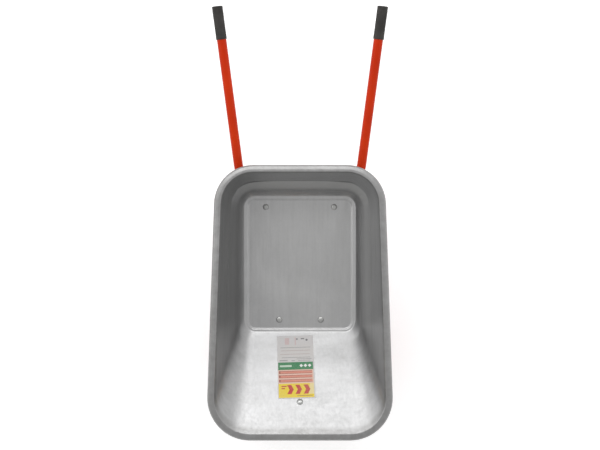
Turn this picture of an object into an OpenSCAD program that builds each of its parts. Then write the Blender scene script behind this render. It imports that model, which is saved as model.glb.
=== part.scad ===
// Builder's wheelbarrow: a pressed steel tray on one bent tube, two legs and two pneumatic wheels.
// Millimetres, Z up. The origin is on the ground, under the middle of the whole barrow.
// The wheels are towards -Y, the grips are towards +Y, and X = 0 is the plane of symmetry.

/* [Overall] */
// Length from the front edge of the tray to the ends of the grips
overall_l = 1462; // [1400:1:1540]

/* [Tray] */
// Length of the tray over its rim
tray_l = 935; // [900:1:950]
// Width over the rim where the front corners begin
tray_w_front = 630; // [600:1:680]
// Width over the rim where the rear corners begin
tray_w_rear = 584; // [560:1:620]
// Depth from the top of the rim to the middle panel of the floor
tray_depth = 220; // [190:1:250]
// Height of the floor's middle panel above the ground
floor_h = 375; // [365:1:420]
// Width of the floor between the side walls
floor_w = 428; // [400:1:440]
// Length of the floor between the rear wall and the front slope
floor_l = 508; // [490:1:520]
// Horizontal run of the rear wall
rear_run = 63; // [50:1:70]
// Width of the rolled rim
rim_w = 24; // [18:1:30]
// Corner radius of the rim at the rear
corner_rear = 135; // [120:1:150]
// Corner radius of the rim at the front
corner_front = 145; // [130:1:160]
// Corner radius of the floor
corner_floor = 52; // [45:1:60]
// Width of the ledge round the middle panel
ledge_w = 15; // [12:1:20]
// Depth of the middle panel below the ledge
panel_drop = 5; // [3:0.5:6]
// Thickness of the sheet
sheet_t = 1.5; // [1:0.1:2]

/* [Frame] */
// Outer diameter of the frame tube
tube_d = 32; // [30:1:34]
// Wall of the frame tube
tube_wall = 1.5; // [1.2:0.1:2.5]
// Distance between the two rear floor bolts
rear_bolt_gap = 250; // [240:1:256]
// Distance between the two front floor bolts
front_bolt_gap = 152; // [146:1:158]
// Distance between the ends of the grips, centre to centre
grip_gap = 550; // [530:1:570]
// Height of the grips at their ends, centre line
grip_h = 640; // [620:1:665]
// Length of a grip
grip_l = 108; // [95:1:130]
// Outer diameter of a grip
grip_d = 36; // [35:0.5:40]

/* [Legs] */
// Outer diameter of the leg tube
leg_d = 25; // [22:1:28]
// How far each foot stands outside the frame tube
leg_splay = 70; // [50:1:90]
// Length of the leg's run along the ground, corner to corner
leg_run = 116; // [108:1:130]
// Thickness of a foot plate
foot_t = 4; // [3:0.5:6]

/* [Wheels] */
// Outer diameter of the tyre
tyre_d = 390; // [380:1:394]
// Width of the tyre
tyre_w = 96; // [90:1:98]
// Distance between the middles of the two wheels
track = 458; // [446:1:466]
// Diameter of the axle
axle_d = 20; // [19:0.5:21]

/* [Fasteners] */
// Thread diameter of the bolts
bolt_d = 8; // [6:1:9]
// Head diameter of the tray bolts
bolt_head_d = 22; // [19:1:24]

/* [Hidden] */
$fn = 48;

// Gap left where a flat sheet rests on a round tube
seat = 0.3;
// Each straight of a bent tube is this much slimmer than its bends and reaches this far into them
slim = 0.05;
reach = 0.4;

// Tray levels and edges
ledge_z = floor_h + panel_drop;
rim_z = floor_h + tray_depth;
wall_h = rim_z - ledge_z;
rim_front = -overall_l / 2;
rim_rear = rim_front + tray_l;
mouth_front = rim_front + rim_w;
mouth_rear = rim_rear - rim_w;
floor_rear = mouth_rear - rear_run;
floor_front = floor_rear - floor_l;
rim_taper = (tray_w_front - tray_w_rear) / 2 / (tray_l - corner_rear - corner_front);
mouth_half_w = tray_w_rear / 2 - rim_taper * (corner_rear - rim_w) - rim_w;
corner_steps = 9;

// Front slope: its foot, its direction upwards and its upward normal
slope_foot = [0, floor_front, ledge_z];
slope_dir = unit([0, mouth_front - floor_front, wall_h]);
slope_up = unit([0, wall_h, floor_front - mouth_front]);
slope_angle = atan2(wall_h, floor_front - mouth_front);
slope_t = sheet_t * (sin(slope_angle) + cos(slope_angle));
slope_l = norm([0, mouth_front - floor_front, wall_h]);
// Share of the wall's height that the curve at its foot takes
fillet_f = 0.04;

// Frame tube: centre lines
tube_r = tube_d / 2;
under_floor = floor_h - sheet_t - seat - tube_r;
under_slope = slope_t + seat + tube_r;
rear_bolt_y = floor_rear - 51;
front_bolt_y = floor_front + 44;
frame_lean = (rear_bolt_gap - front_bolt_gap) / 2 / (rear_bolt_y - front_bolt_y);
frame_yaw = -atan(frame_lean);
// Distance of the front bolt up the slope
slope_bolt_s = 267;
slope_bolt = slope_foot + slope_dir * slope_bolt_s;
nose_centre = slope_bolt - slope_up * under_slope;
knee_y = nose_centre[1] + (nose_centre[2] - under_floor) / tan(slope_angle);
crank_low_y = floor_rear + 36;
crank_high_y = mouth_rear - 8;
handle_lean = 0.1165;
handle_rise = 0.25;
grip_end_y = overall_l / 2 - grip_d / 2 * sin(acos(1 / norm([handle_lean, 1, handle_rise])));
grip_tip_t = 4;
tube_end_y = grip_end_y - grip_tip_t;
nose_bend = 44;
knee_bend = 60;
crank_bend = 60;

// Label, from the curve at the slope's foot up to the bolt's head
label_w = 130;
label_s = fillet_f * slope_l + 0.7;
label_l = slope_bolt_s - bolt_head_d / 2 - label_s - 1;
label_x = -14.6;
label_turn = 2;
label_t = 0.3;
label_gap = 0.05;
label_corner = 5;

// Legs
leg_r = leg_d / 2;
leg_wall = 1.5;
leg_bend = 40;
leg_low = foot_t + leg_r;
leg_front_y = -80;
leg_rear_y = 85;
foot_front_y = 36;
foot_l = 92;
foot_w = 44;
brace_z = 150;
brace_r = 10;

// Wheels, seen along the axle
tyre_r = tyre_d / 2;
tube_section_r = tyre_w / 2;
tread_r = tyre_r - tube_section_r;
tyre_wall = 7;
bead_r = 101.5;
axle_r = axle_d / 2;
axle_z = tyre_r;
// Gap between the tyres and the slope
slope_clear = 30.52;
axle_y = floor_front - (tyre_r + slope_clear - slope_up[2] * (ledge_z - tyre_r)) / slope_up[1];
rim_t = 2;
rim_half_w = 33;
well_r = 78;
well_w = 14;
bead_half_w = rim_half_w - rim_t - seat;
flange_h = 14;
hub_l = 88;
hub_r = 26;
flange_r = 54;
flange_t = 4;
rim_bolt_pitch = 40;
race_r = 21;
race_w = 12;
ball_pitch_r = 15.6;
ball_r = 3.2;
ball_gap = 0.3;
balls = 9;
axle_end = track / 2 + hub_l / 2 + 20;
axle_washer_t = 3;
bracket_t = 5;
bracket_arm_w = 30;
bracket_tie_w = 24;
bracket_tongue = 14;
bracket_eye_r = 26;
boss_r = 16;
boss_shift = 2;
boss_half_l = 20;
bracket_rear_y = front_bolt_y + 48;
bracket_front_y = slope_bolt[1] + 58;

// Fasteners
bolt_r = bolt_d / 2;
hole_r = bolt_r + 0.2;
washer_t = 1.6;
nut_t = 0.8 * bolt_d;
nut_r = 0.94 * bolt_d;
head_t = 5.3;
dome_h = 4.5;
tail = 4;

function unit(v) = v / norm(v);
function frame_x(y) = rear_bolt_gap / 2 + (y - rear_bolt_y) * frame_lean;
function handle_x(y) = grip_gap / 2 - (grip_end_y - y) * handle_lean;
function handle_z(y) = grip_h - (grip_end_y - y) * handle_rise;
function slope_tube_z(y) = nose_centre[2] + (nose_centre[1] - y) * tan(slope_angle);

// Bent tubes: headings, bends and straights between the corner points of a route
function heading(p, i) = unit(p[i + 1] - p[i]);
function turn(p, i) = i < 1 || i > len(p) - 2 ? 0 : acos(heading(p, i - 1) * heading(p, i));
function setback(p, b, i) = turn(p, i) == 0 ? 0 : b[i] * tan(turn(p, i) / 2);
function straight(p, b, i) = norm(p[i + 1] - p[i]) - setback(p, b, i) - setback(p, b, i + 1);
function bend_normal(p, i) = unit(cross(heading(p, i - 1), heading(p, i)));
function roll(p, i) = let (a = bend_normal(p, i), b = bend_normal(p, i + 1))
    atan2(cross(a, b) * heading(p, i), a * b);

module ring(r, wall) difference() {
    circle(r);
    if (wall > 0) circle(r - wall);
}

module tube_from(p, b, i, r, wall) {
    l = straight(p, b, i);
    low = i == 0 ? 0 : reach;
    high = i == len(p) - 2 ? 0 : reach;
    translate([0, 0, -low]) linear_extrude(l + low + high)
        ring(r - slim, wall > 0 ? wall - 2 * slim : 0);
    if (i < len(p) - 2) translate([b[i + 1], 0, l]) {
        rotate([90, 0, 180]) rotate_extrude(angle = turn(p, i + 1)) translate([b[i + 1], 0]) ring(r, wall);
        rotate([0, turn(p, i + 1), 0]) translate([-b[i + 1], 0, 0])
            rotate([0, 0, i < len(p) - 3 ? roll(p, i + 1) : 0]) tube_from(p, b, i + 1, r, wall);
    }
}

// A round tube along the corner points p, with a bend radius for each of them
module bent_tube(p, b, r, wall) {
    z = heading(p, 0);
    y = bend_normal(p, 1);
    x = cross(y, z);
    multmatrix([
        [x[0], y[0], z[0], p[0][0]], [x[1], y[1], z[1], p[0][1]],
        [x[2], y[2], z[2], p[0][2]], [0, 0, 0, 1]
    ]) tube_from(p, b, 0, r, wall);
}

// A straight rod between two points
module rod(a, b, r) {
    d = b - a;
    translate(a) rotate([0, acos(d[2] / norm(d)), atan2(d[1], d[0])]) cylinder(h = norm(d), r = r);
}

module both_sides() {
    children();
    mirror([1, 0, 0]) children();
}

// ---- Tray ----

// Values of the outline between the floor (f = 0) and the mouth (f = 1)
function blend(a, b, f) = a + (b - a) * f;
function edge_rear(f) = blend(floor_rear, mouth_rear, f);
function edge_front(f) = blend(floor_front, mouth_front, f);
function edge_taper(f) = blend(0, rim_taper, f);
function side_x(f, y) = blend(floor_w / 2, mouth_half_w, f) + (edge_rear(f) - y) * edge_taper(f);

// One corner: its centre is found from the two edges that it rounds off
function corner(f, y, r, grow, from, to) = [for (i = [0 : corner_steps])
    let (a = from + (to - from) * i / corner_steps)
    [side_x(f, y) - r / cos(atan(edge_taper(f))) + (r + grow) * cos(a), y + (r + grow) * sin(a)]];
function right_side(f, grow) = let (
    rear_r = blend(corner_floor, corner_rear - rim_w, f),
    front_r = blend(corner_floor, corner_front - rim_w, f),
    lean = atan(edge_taper(f))
) concat(
    corner(f, edge_rear(f) - rear_r, rear_r, grow, 90, lean),
    corner(f, edge_front(f) + front_r, front_r, grow, lean, -90)
);
function outline(s) = let (right = right_side(s[0], s[1]), n = len(right)) concat(
    [for (p = right) [p[0], p[1], s[2]]],
    [for (i = [n - 1 : -1 : 0]) [-right[i][0], right[i][1], s[2]]]
);

// Steps of the section: how far up the wall, how far outside it, and the height
fillet_from = [0, -10, ledge_z];
fillet_by = [0, 0, ledge_z];
fillet_to = [fillet_f, 0, ledge_z + fillet_f * wall_h];
function fillet(u) = (1 - u) * (1 - u) * fillet_from + 2 * u * (1 - u) * fillet_by + u * u * fillet_to;
upper = [
    [0, -ledge_w - 6, floor_h], [0, -ledge_w, ledge_z],
    fillet(0), fillet(0.35), fillet(0.65), fillet(1),
    [1 - 5 / wall_h, 0, rim_z - 5], [1, 0.5, rim_z - 1.5], [1, 4, rim_z],
    [1, 0.6 * rim_w, rim_z - 2], [1, rim_w - 2, rim_z - 5.5], [1, rim_w, rim_z - 9]
];
lip = [[1, rim_w, rim_z - 12], [1, rim_w - 2, rim_z - 14], [1, rim_w - 4.5, rim_z - 13]];
lower = [for (i = [len(upper) - 3 : -1 : 0]) upper[i] + [0, sheet_t, -sheet_t]];

module tray_shell() {
    steps = concat(upper, lip, lower);
    rings = [for (s = steps) outline(s)];
    n = len(rings[0]);
    last = len(rings) - 1;
    skin = [for (k = [0 : last - 1], i = [0 : n - 1])
        let (a = k * n, j = (i + 1) % n) each [[a + i, a + n + i, a + j], [a + j, a + n + i, a + n + j]]];
    polyhedron(
        points = [for (r = rings) each r],
        faces = concat([[for (i = [0 : n - 1]) i]], skin, [[for (i = [n - 1 : -1 : 0]) last * n + i]])
    );
}

// Puts a shape that hangs from the floor's surface at each of the five tray bolts
module at_floor_bolts() both_sides() {
    translate([rear_bolt_gap / 2, rear_bolt_y, floor_h]) children();
    translate([front_bolt_gap / 2, front_bolt_y, floor_h]) children();
}
module at_slope_bolt() translate(slope_bolt) rotate([-slope_angle, 0, 0]) children();
module at_tray_bolts() {
    at_floor_bolts() children();
    at_slope_bolt() children();
}

module tray() color("silver") difference() {
    tray_shell();
    at_tray_bolts() cylinder(h = 40, r = hole_r, center = true);
}

module label() color("gold")
    translate(slope_foot + slope_dir * (label_s + label_l / 2) + [label_x, 0, 0])
    rotate([-slope_angle, 0, 0]) rotate([0, 0, label_turn]) translate([-label_w / 2, -label_l / 2, label_gap])
    linear_extrude(label_t) rounded(label_w, label_l, label_corner);

module rounded(w, l, r) union() {
    translate([r, 0]) square([w - 2 * r, l]);
    translate([0, r]) square([w, l - 2 * r]);
    for (x = [r, w - r], y = [r, l - r]) translate([x, y]) circle(r);
}

// ---- Frame ----

function half_route() = [
    [handle_x(tube_end_y), tube_end_y, handle_z(tube_end_y)],
    [handle_x(crank_high_y), crank_high_y, handle_z(crank_high_y)],
    [frame_x(crank_low_y), crank_low_y, under_floor],
    [frame_x(knee_y), knee_y, under_floor],
    [frame_x(nose_centre[1]), nose_centre[1], nose_centre[2]]
];
frame_route = concat(half_route(), [for (i = [4 : -1 : 0]) let (p = half_route()[i]) [-p[0], p[1], p[2]]]);
frame_bends = [0, crank_bend, crank_bend, knee_bend, nose_bend, nose_bend, knee_bend, crank_bend, crank_bend, 0];

// Puts a shape on the right tube, its X axis across the tube, at the bracket's bolts
module at_bracket_bolts() {
    translate([frame_x(bracket_rear_y), bracket_rear_y, under_floor]) rotate([0, 0, frame_yaw]) children();
    translate([frame_x(bracket_front_y), bracket_front_y, slope_tube_z(bracket_front_y)])
        rotate([0, 0, frame_yaw]) children();
}

module frame_tube() color("orangered") difference() {
    bent_tube(frame_route, frame_bends, tube_r, tube_wall);
    at_tray_bolts() cylinder(h = 120, r = hole_r, center = true);
    both_sides() at_bracket_bolts() rotate([0, 90, 0]) cylinder(h = 60, r = hole_r, center = true);
}

// The right grip: a closed sleeve with raised rings
module grip() {
    tip = [handle_x(grip_end_y), grip_end_y, handle_z(grip_end_y)];
    back = unit([handle_lean, 1, handle_rise]);
    difference() {
        union() {
            rod(tip - back * grip_l, tip, grip_d / 2 - 1);
            rod(tip - back * grip_l, tip - back * (grip_l - 6), grip_d / 2);
            rod(tip - back * 6, tip, grip_d / 2);
            for (i = [1 : 8]) rod(tip - back * (12 * i - 1), tip - back * (12 * i - 6), grip_d / 2 - 0.3);
        }
        rod(tip - back * (grip_l + 1), tip - back * grip_tip_t, tube_r);
    }
}
module grip_right() color("dimgray") grip();
module grip_left() color("dimgray") mirror([1, 0, 0]) grip();

// ---- Legs ----

leg_route = [
    [frame_x(leg_front_y), leg_front_y, under_floor],
    [frame_x(foot_front_y) + leg_splay, foot_front_y, leg_low],
    [frame_x(foot_front_y + leg_run) + leg_splay, foot_front_y + leg_run, leg_low],
    [frame_x(leg_rear_y), leg_rear_y, under_floor]
];
function leg_rear_at(z) = leg_route[2] + (leg_route[3] - leg_route[2]) * (z - leg_low) / (under_floor - leg_low);

module leg() difference() {
    bent_tube(leg_route, [0, leg_bend, leg_bend, 0], leg_r, leg_wall);
    rod([frame_x(-200), -200, under_floor], [frame_x(150), 150, under_floor], tube_r - slim);
}
module leg_right() color("orangered") leg();
module leg_left() color("orangered") mirror([1, 0, 0]) leg();

module foot() translate((leg_route[1] + leg_route[2]) / 2 - [0, 0, leg_low]) rotate([0, 0, frame_yaw])
    translate([-foot_w / 2, -foot_l / 2, 0]) linear_extrude(foot_t) rounded(foot_w, foot_l, 10);
module foot_right() color("orangered") foot();
module foot_left() color("orangered") mirror([1, 0, 0]) foot();

module leg_brace() color("orangered") difference() {
    end = leg_rear_at(brace_z);
    translate([-end[0], end[1], end[2]]) rotate([0, 90, 0]) difference() {
        cylinder(h = 2 * end[0], r = brace_r);
        translate([0, 0, -1]) cylinder(h = 2 * end[0] + 2, r = brace_r - leg_wall);
    }
    both_sides() rod(leg_rear_at(40), leg_rear_at(260), leg_r - slim);
}

// ---- Fasteners of the tray and the frame ----

module hex(across_r, h, bore) difference() {
    cylinder(h = h, r = across_r, $fn = 6);
    translate([0, 0, -1]) cylinder(h = h + 2, r = bore);
}
module washer(r, h, bore) difference() {
    cylinder(h = h, r = r);
    translate([0, 0, -1]) cylinder(h = h + 2, r = bore);
}

// Domed head on the sheet and a shank down through the tube
module tray_bolt(grip_t) {
    dome_r = (bolt_head_d * bolt_head_d / 4 + dome_h * dome_h) / 2 / dome_h;
    intersection() {
        translate([0, 0, dome_h - dome_r]) sphere(dome_r);
        cylinder(h = dome_h, r = bolt_head_d / 2);
    }
    translate([0, 0, -grip_t - washer_t - nut_t - tail])
        cylinder(h = grip_t + washer_t + nut_t + tail + 1, r = bolt_r);
}
floor_grip_t = sheet_t + seat + tube_d;
slope_grip_t = slope_t + seat + tube_d;
module tray_bolts() color("gainsboro") {
    at_floor_bolts() tray_bolt(floor_grip_t);
    at_slope_bolt() tray_bolt(slope_grip_t);
}
module tray_washers() color("gainsboro") {
    at_floor_bolts() translate([0, 0, -floor_grip_t - washer_t]) washer(bolt_d, washer_t, bolt_r);
    at_slope_bolt() translate([0, 0, -slope_grip_t - washer_t]) washer(bolt_d, washer_t, bolt_r);
}
module tray_nuts() color("gainsboro") {
    at_floor_bolts() translate([0, 0, -floor_grip_t - washer_t - nut_t]) hex(nut_r, nut_t, bolt_r);
    at_slope_bolt() translate([0, 0, -slope_grip_t - washer_t - nut_t]) hex(nut_r, nut_t, bolt_r);
}

// ---- Axle brackets ----

bracket_face = tube_r + seat;

// A flat bar drawn from a to b, which ends in a tongue as long as over beyond b
module bar(a, b, w, over) {
    d = b - a;
    translate(a) rotate(atan2(d[1], d[0])) polygon([
        [0, -w / 2], [norm(d) + 0.4 * over, -w / 2], [norm(d) + over, -w / 4],
        [norm(d) + over, w / 4], [norm(d) + 0.4 * over, w / 2], [0, w / 2]
    ]);
}
// The plate's own plane: x runs along the frame tube, y is the height
function plate_at(y, z) = [(y - axle_y) / cos(frame_yaw), z];
module bracket_plate() {
    rear = plate_at(bracket_rear_y, under_floor);
    front = plate_at(bracket_front_y, slope_tube_z(bracket_front_y));
    low = plate_at(axle_y, axle_z);
    difference() {
        union() {
            bar(low, rear, bracket_arm_w, bracket_tongue);
            bar(low, front, bracket_arm_w, bracket_tongue);
            bar(blend(low, rear, 0.5), blend(low, front, 0.42), bracket_tie_w, 0);
            translate(low) circle(bracket_eye_r);
        }
        translate(rear) circle(hole_r);
        translate(front) circle(hole_r);
    }
}
module axle_bracket() difference() {
    union() {
        translate([frame_x(axle_y), axle_y, 0]) rotate([0, 0, frame_yaw])
            translate([bracket_face, 0, 0]) rotate([90, 0, 90]) linear_extrude(bracket_t) bracket_plate();
        translate([frame_x(axle_y) + bracket_face + boss_shift - boss_half_l, axle_y, axle_z]) rotate([0, 90, 0])
            cylinder(h = 2 * boss_half_l, r = boss_r);
    }
    translate([0, axle_y, axle_z]) rotate([0, 90, 0]) cylinder(h = 300, r = axle_r);
}
boss_end = frame_x(axle_y) + bracket_face + boss_shift + boss_half_l;
module axle_bracket_right() color("orangered") axle_bracket();
module axle_bracket_left() color("orangered") mirror([1, 0, 0]) axle_bracket();

// Places a shape just outside the plate, its Z axis pointing away from the tube
module outside_plate() both_sides() at_bracket_bolts() translate([bracket_face + bracket_t, 0, 0])
    rotate([0, 90, 0]) children();
inside_depth = bracket_t + bracket_face + tube_r;
module bracket_bolts() color("gainsboro") outside_plate() {
    cylinder(h = head_t, r = nut_r, $fn = 6);
    translate([0, 0, -inside_depth - washer_t - nut_t - tail])
        cylinder(h = inside_depth + washer_t + nut_t + tail + 1, r = bolt_r);
}
module bracket_washers() color("gainsboro") outside_plate()
    translate([0, 0, -inside_depth - washer_t]) washer(bolt_d, washer_t, bolt_r);
module bracket_nuts() color("gainsboro") outside_plate()
    translate([0, 0, -inside_depth - washer_t - nut_t]) hex(nut_r, nut_t, bolt_r);

// ---- Axle ----

// Puts a shape on the right half of the axle, its Z axis pointing outwards
module on_axle(x) translate([x, axle_y, axle_z]) rotate([0, 90, 0]) children();
wheel_x = track / 2;
pin_x = wheel_x + hub_l / 2 + axle_washer_t + 3.5;

module axle() color("gainsboro") difference() {
    on_axle(-axle_end) cylinder(h = 2 * axle_end, r = axle_r);
    both_sides() translate([pin_x, axle_y, axle_z]) cylinder(h = 60, r = 2.2, center = true);
}
module axle_spacers() color("silver") both_sides() on_axle(boss_end)
    washer(14, wheel_x - hub_l / 2 - boss_end, axle_r);
module hub_sleeves() color("silver") both_sides() on_axle(wheel_x - hub_l / 2 + race_w)
    washer(12.5, hub_l - 2 * race_w, axle_r);
module axle_washers() color("gainsboro") both_sides() on_axle(wheel_x + hub_l / 2)
    washer(18, axle_washer_t, axle_r);
module split_pins() color("gainsboro") both_sides() translate([pin_x, axle_y, axle_z]) {
    translate([0, 0, -18]) cylinder(h = 32, r = 2);
    translate([0, 0, 17]) rotate([0, 90, 0]) rotate_extrude() translate([4, 0]) circle(1.8);
}

// Puts a shape at both bearings of the right wheel
module at_bearings() {
    on_axle(wheel_x - hub_l / 2) children();
    on_axle(wheel_x + hub_l / 2 - race_w) children();
}
module race(r_in, r_out) difference() {
    washer(r_out, race_w, r_in);
    translate([0, 0, race_w / 2]) rotate_extrude() translate([ball_pitch_r, 0]) circle(ball_r + ball_gap);
}
module bearing_inner_races() color("gainsboro") both_sides() at_bearings() race(axle_r, ball_pitch_r - 2.2);

// ---- Wheels, drawn on the right side ----

module tyre_section() difference() {
    union() {
        translate([tread_r, 0]) circle(tube_section_r);
        intersection() {
            translate([tyre_r - 24, -38]) square([24, 76]);
            translate([tyre_r - 130, 0]) circle(130);
        }
        translate([bead_r, -bead_half_w]) square([22, 2 * bead_half_w]);
    }
    translate([tread_r, 0]) circle(tube_section_r - tyre_wall);
    translate([bead_r - 12, -60]) square([12, 120]);
    translate([bead_r - 1, 12 - bead_half_w]) square([24, 2 * bead_half_w - 24]);
    for (y = [bead_half_w, -bead_half_w - 20]) translate([bead_r, y]) square([flange_h + 2.5, 20]);
    for (y = [-18, 0, 18]) translate([tyre_r - 5, y - 2.5]) square([6, 5]);
}
module tyre() on_axle(wheel_x) rotate_extrude($fn = 96) tyre_section();

module inner_tube() on_axle(wheel_x) rotate_extrude() translate([tread_r + 0.5, 0])
    ring(tube_section_r - tyre_wall - 1, 2.5);

// One pressed half of the rim: disc, bead seat and flange
module rim_section() {
    translate([hub_r + 0.4, flange_t / 2]) square([well_r - hub_r - 0.4, rim_t]);
    translate([well_r - rim_t, flange_t / 2]) square([rim_t, well_w + rim_t]);
    translate([well_r - rim_t, flange_t / 2 + well_w]) square([bead_r - well_r + rim_t, rim_t]);
    translate([bead_r - rim_t, flange_t / 2 + well_w]) square([rim_t, rim_half_w - well_w - flange_t / 2]);
    translate([bead_r - rim_t, rim_half_w - rim_t]) square([flange_h, rim_t]);
    translate([bead_r - rim_t + flange_h, rim_half_w]) circle(rim_t);
}
module at_rim_bolts() for (a = [45 : 90 : 315]) rotate([0, 0, a]) translate([rim_bolt_pitch, 0, 0]) children();
valve_r = 4;
module rim_half() difference() {
    rotate_extrude($fn = 96) rim_section();
    at_rim_bolts() cylinder(h = 40, r = hole_r, center = true);
}
module rim_outer_half() difference() {
    on_axle(wheel_x) rim_half();
    valve_path() cylinder(h = 60, r = valve_r + 0.6, center = true);
}
module rim_inner_half() mirror_wheel() on_axle(wheel_x) rim_half();
module mirror_wheel() translate([2 * wheel_x, 0, 0]) mirror([1, 0, 0]) children();

module hub() on_axle(wheel_x) difference() {
    union() {
        translate([0, 0, -hub_l / 2]) cylinder(h = hub_l, r = hub_r);
        translate([0, 0, -flange_t / 2]) cylinder(h = flange_t, r = flange_r);
    }
    cylinder(h = hub_l, r = race_r - 3, center = true);
    for (z = [-hub_l / 2 - 1, hub_l / 2 - race_w]) translate([0, 0, z]) cylinder(h = race_w + 1, r = race_r);
    at_rim_bolts() cylinder(h = 40, r = hole_r, center = true);
}
clamp_half = flange_t / 2 + rim_t;
module rim_bolts() on_axle(wheel_x) at_rim_bolts() {
    translate([0, 0, clamp_half]) cylinder(h = head_t, r = nut_r, $fn = 6);
    translate([0, 0, -clamp_half - nut_t - 2]) cylinder(h = 2 * clamp_half + nut_t + 3, r = bolt_r);
}
module rim_nuts() on_axle(wheel_x) at_rim_bolts() translate([0, 0, -clamp_half - nut_t]) hex(nut_r, nut_t, bolt_r);

module bearing_outer_races() at_bearings() race(ball_pitch_r + 2.2, race_r);
module bearing_balls() at_bearings() for (i = [0 : balls - 1]) rotate([0, 0, 360 / balls * i])
    translate([ball_pitch_r, 0, race_w / 2]) sphere(ball_r);
module bearing_seals() for (x = [wheel_x - hub_l / 2 + 0.4, wheel_x + hub_l / 2 - 1.4]) on_axle(x)
    washer(ball_pitch_r + 2.2, 1, ball_pitch_r - 1.9);

// The valve leans outwards from the tube through the well of the rim
valve_x = wheel_x + 9;
module valve_path() translate([valve_x, axle_y, axle_z + bead_r - 12]) children();
module valve_stem() valve_path() {
    translate([0, 0, -12]) cylinder(h = 24, r = valve_r);
    translate([0, 0, -24]) cylinder(h = 13, r = valve_r - 0.8);
}
module valve_cap() valve_path() translate([0, 0, -27]) difference() {
    cylinder(h = 13, r = valve_r + 0.6);
    translate([0, 0, 3]) cylinder(h = 11, r = valve_r - 0.8);
}

module tyre_right() color("dimgray") tyre();
module tyre_left() color("dimgray") mirror([1, 0, 0]) tyre();
module inner_tube_right() color("black") inner_tube();
module inner_tube_left() color("black") mirror([1, 0, 0]) inner_tube();
module rim_outer_half_right() color("orangered") rim_outer_half();
module rim_outer_half_left() color("orangered") mirror([1, 0, 0]) rim_outer_half();
module rim_inner_half_right() color("orangered") rim_inner_half();
module rim_inner_half_left() color("orangered") mirror([1, 0, 0]) rim_inner_half();
module hub_right() color("silver") hub();
module hub_left() color("silver") mirror([1, 0, 0]) hub();
module rim_bolts_right() color("gainsboro") rim_bolts();
module rim_bolts_left() color("gainsboro") mirror([1, 0, 0]) rim_bolts();
module rim_nuts_right() color("gainsboro") rim_nuts();
module rim_nuts_left() color("gainsboro") mirror([1, 0, 0]) rim_nuts();
module bearing_outer_races_right() color("gainsboro") bearing_outer_races();
module bearing_outer_races_left() color("gainsboro") mirror([1, 0, 0]) bearing_outer_races();
module bearing_balls_right() color("gainsboro") bearing_balls();
module bearing_balls_left() color("gainsboro") mirror([1, 0, 0]) bearing_balls();
module bearing_seals_right() color("black") bearing_seals();
module bearing_seals_left() color("black") mirror([1, 0, 0]) bearing_seals();
module valve_stem_right() color("black") valve_stem();
module valve_stem_left() color("black") mirror([1, 0, 0]) valve_stem();
module valve_cap_right() color("black") valve_cap();
module valve_cap_left() color("black") mirror([1, 0, 0]) valve_cap();

tray();
label();
frame_tube();
grip_left();
grip_right();
leg_left();
leg_right();
foot_left();
foot_right();
leg_brace();
tray_bolts();
tray_washers();
tray_nuts();
axle_bracket_left();
axle_bracket_right();
bracket_bolts();
bracket_washers();
bracket_nuts();
axle();
axle_spacers();
hub_sleeves();
bearing_inner_races();
axle_washers();
split_pins();
tyre_left();
tyre_right();
inner_tube_left();
inner_tube_right();
rim_outer_half_left();
rim_outer_half_right();
rim_inner_half_left();
rim_inner_half_right();
hub_left();
hub_right();
rim_bolts_left();
rim_bolts_right();
rim_nuts_left();
rim_nuts_right();
bearing_outer_races_left();
bearing_outer_races_right();
bearing_balls_left();
bearing_balls_right();
bearing_seals_left();
bearing_seals_right();
valve_stem_left();
valve_stem_right();
valve_cap_left();
valve_cap_right();
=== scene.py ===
"""A builder's wheelbarrow: galvanised tray, bent tube frame, two legs, two pneumatic wheels.

Metres, Z up. The wheels are towards -Y, the grips towards +Y, and X = 0 is the plane of symmetry.
"""

import math

import bmesh
import bpy
from mathutils import Matrix, Vector, noise
from mathutils.bvhtree import BVHTree


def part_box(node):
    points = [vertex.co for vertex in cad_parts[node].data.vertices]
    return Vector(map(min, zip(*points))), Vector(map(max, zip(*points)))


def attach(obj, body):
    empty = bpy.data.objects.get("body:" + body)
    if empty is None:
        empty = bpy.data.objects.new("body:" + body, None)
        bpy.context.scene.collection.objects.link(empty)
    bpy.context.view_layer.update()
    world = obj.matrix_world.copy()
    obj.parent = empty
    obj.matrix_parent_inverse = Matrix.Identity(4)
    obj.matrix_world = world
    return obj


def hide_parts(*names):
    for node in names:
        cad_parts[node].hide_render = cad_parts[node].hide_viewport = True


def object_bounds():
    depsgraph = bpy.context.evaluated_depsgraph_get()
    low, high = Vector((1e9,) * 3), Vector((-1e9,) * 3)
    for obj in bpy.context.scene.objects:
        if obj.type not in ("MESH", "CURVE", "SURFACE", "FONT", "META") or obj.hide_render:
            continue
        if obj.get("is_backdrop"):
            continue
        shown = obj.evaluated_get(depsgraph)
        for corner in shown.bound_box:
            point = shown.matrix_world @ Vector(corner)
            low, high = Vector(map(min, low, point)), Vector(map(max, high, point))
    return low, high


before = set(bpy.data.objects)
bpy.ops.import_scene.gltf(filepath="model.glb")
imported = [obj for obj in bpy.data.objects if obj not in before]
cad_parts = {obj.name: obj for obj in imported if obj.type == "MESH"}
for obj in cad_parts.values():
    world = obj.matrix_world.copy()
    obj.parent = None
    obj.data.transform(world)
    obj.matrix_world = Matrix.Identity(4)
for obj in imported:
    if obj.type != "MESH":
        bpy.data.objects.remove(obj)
cad_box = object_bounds()
MM = 0.001

# ---------------------------------------------------------------- sizes, from the frame

tray_lo, tray_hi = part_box("tray")
axle_lo, axle_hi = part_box("axle")
tyre_lo, tyre_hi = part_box("tyre_right")
AXLE_Y, AXLE_Z = (axle_lo.y + axle_hi.y) / 2, (axle_lo.z + axle_hi.z) / 2
WHEEL_X = (tyre_lo.x + tyre_hi.x) / 2

SIDES = ("right", "left")
SHEET = 1.5 * MM
SEAT = 0.3 * MM
TUBE_R = 16 * MM
LEG_R = 12.5 * MM
BRACE_R = 10 * MM

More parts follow.
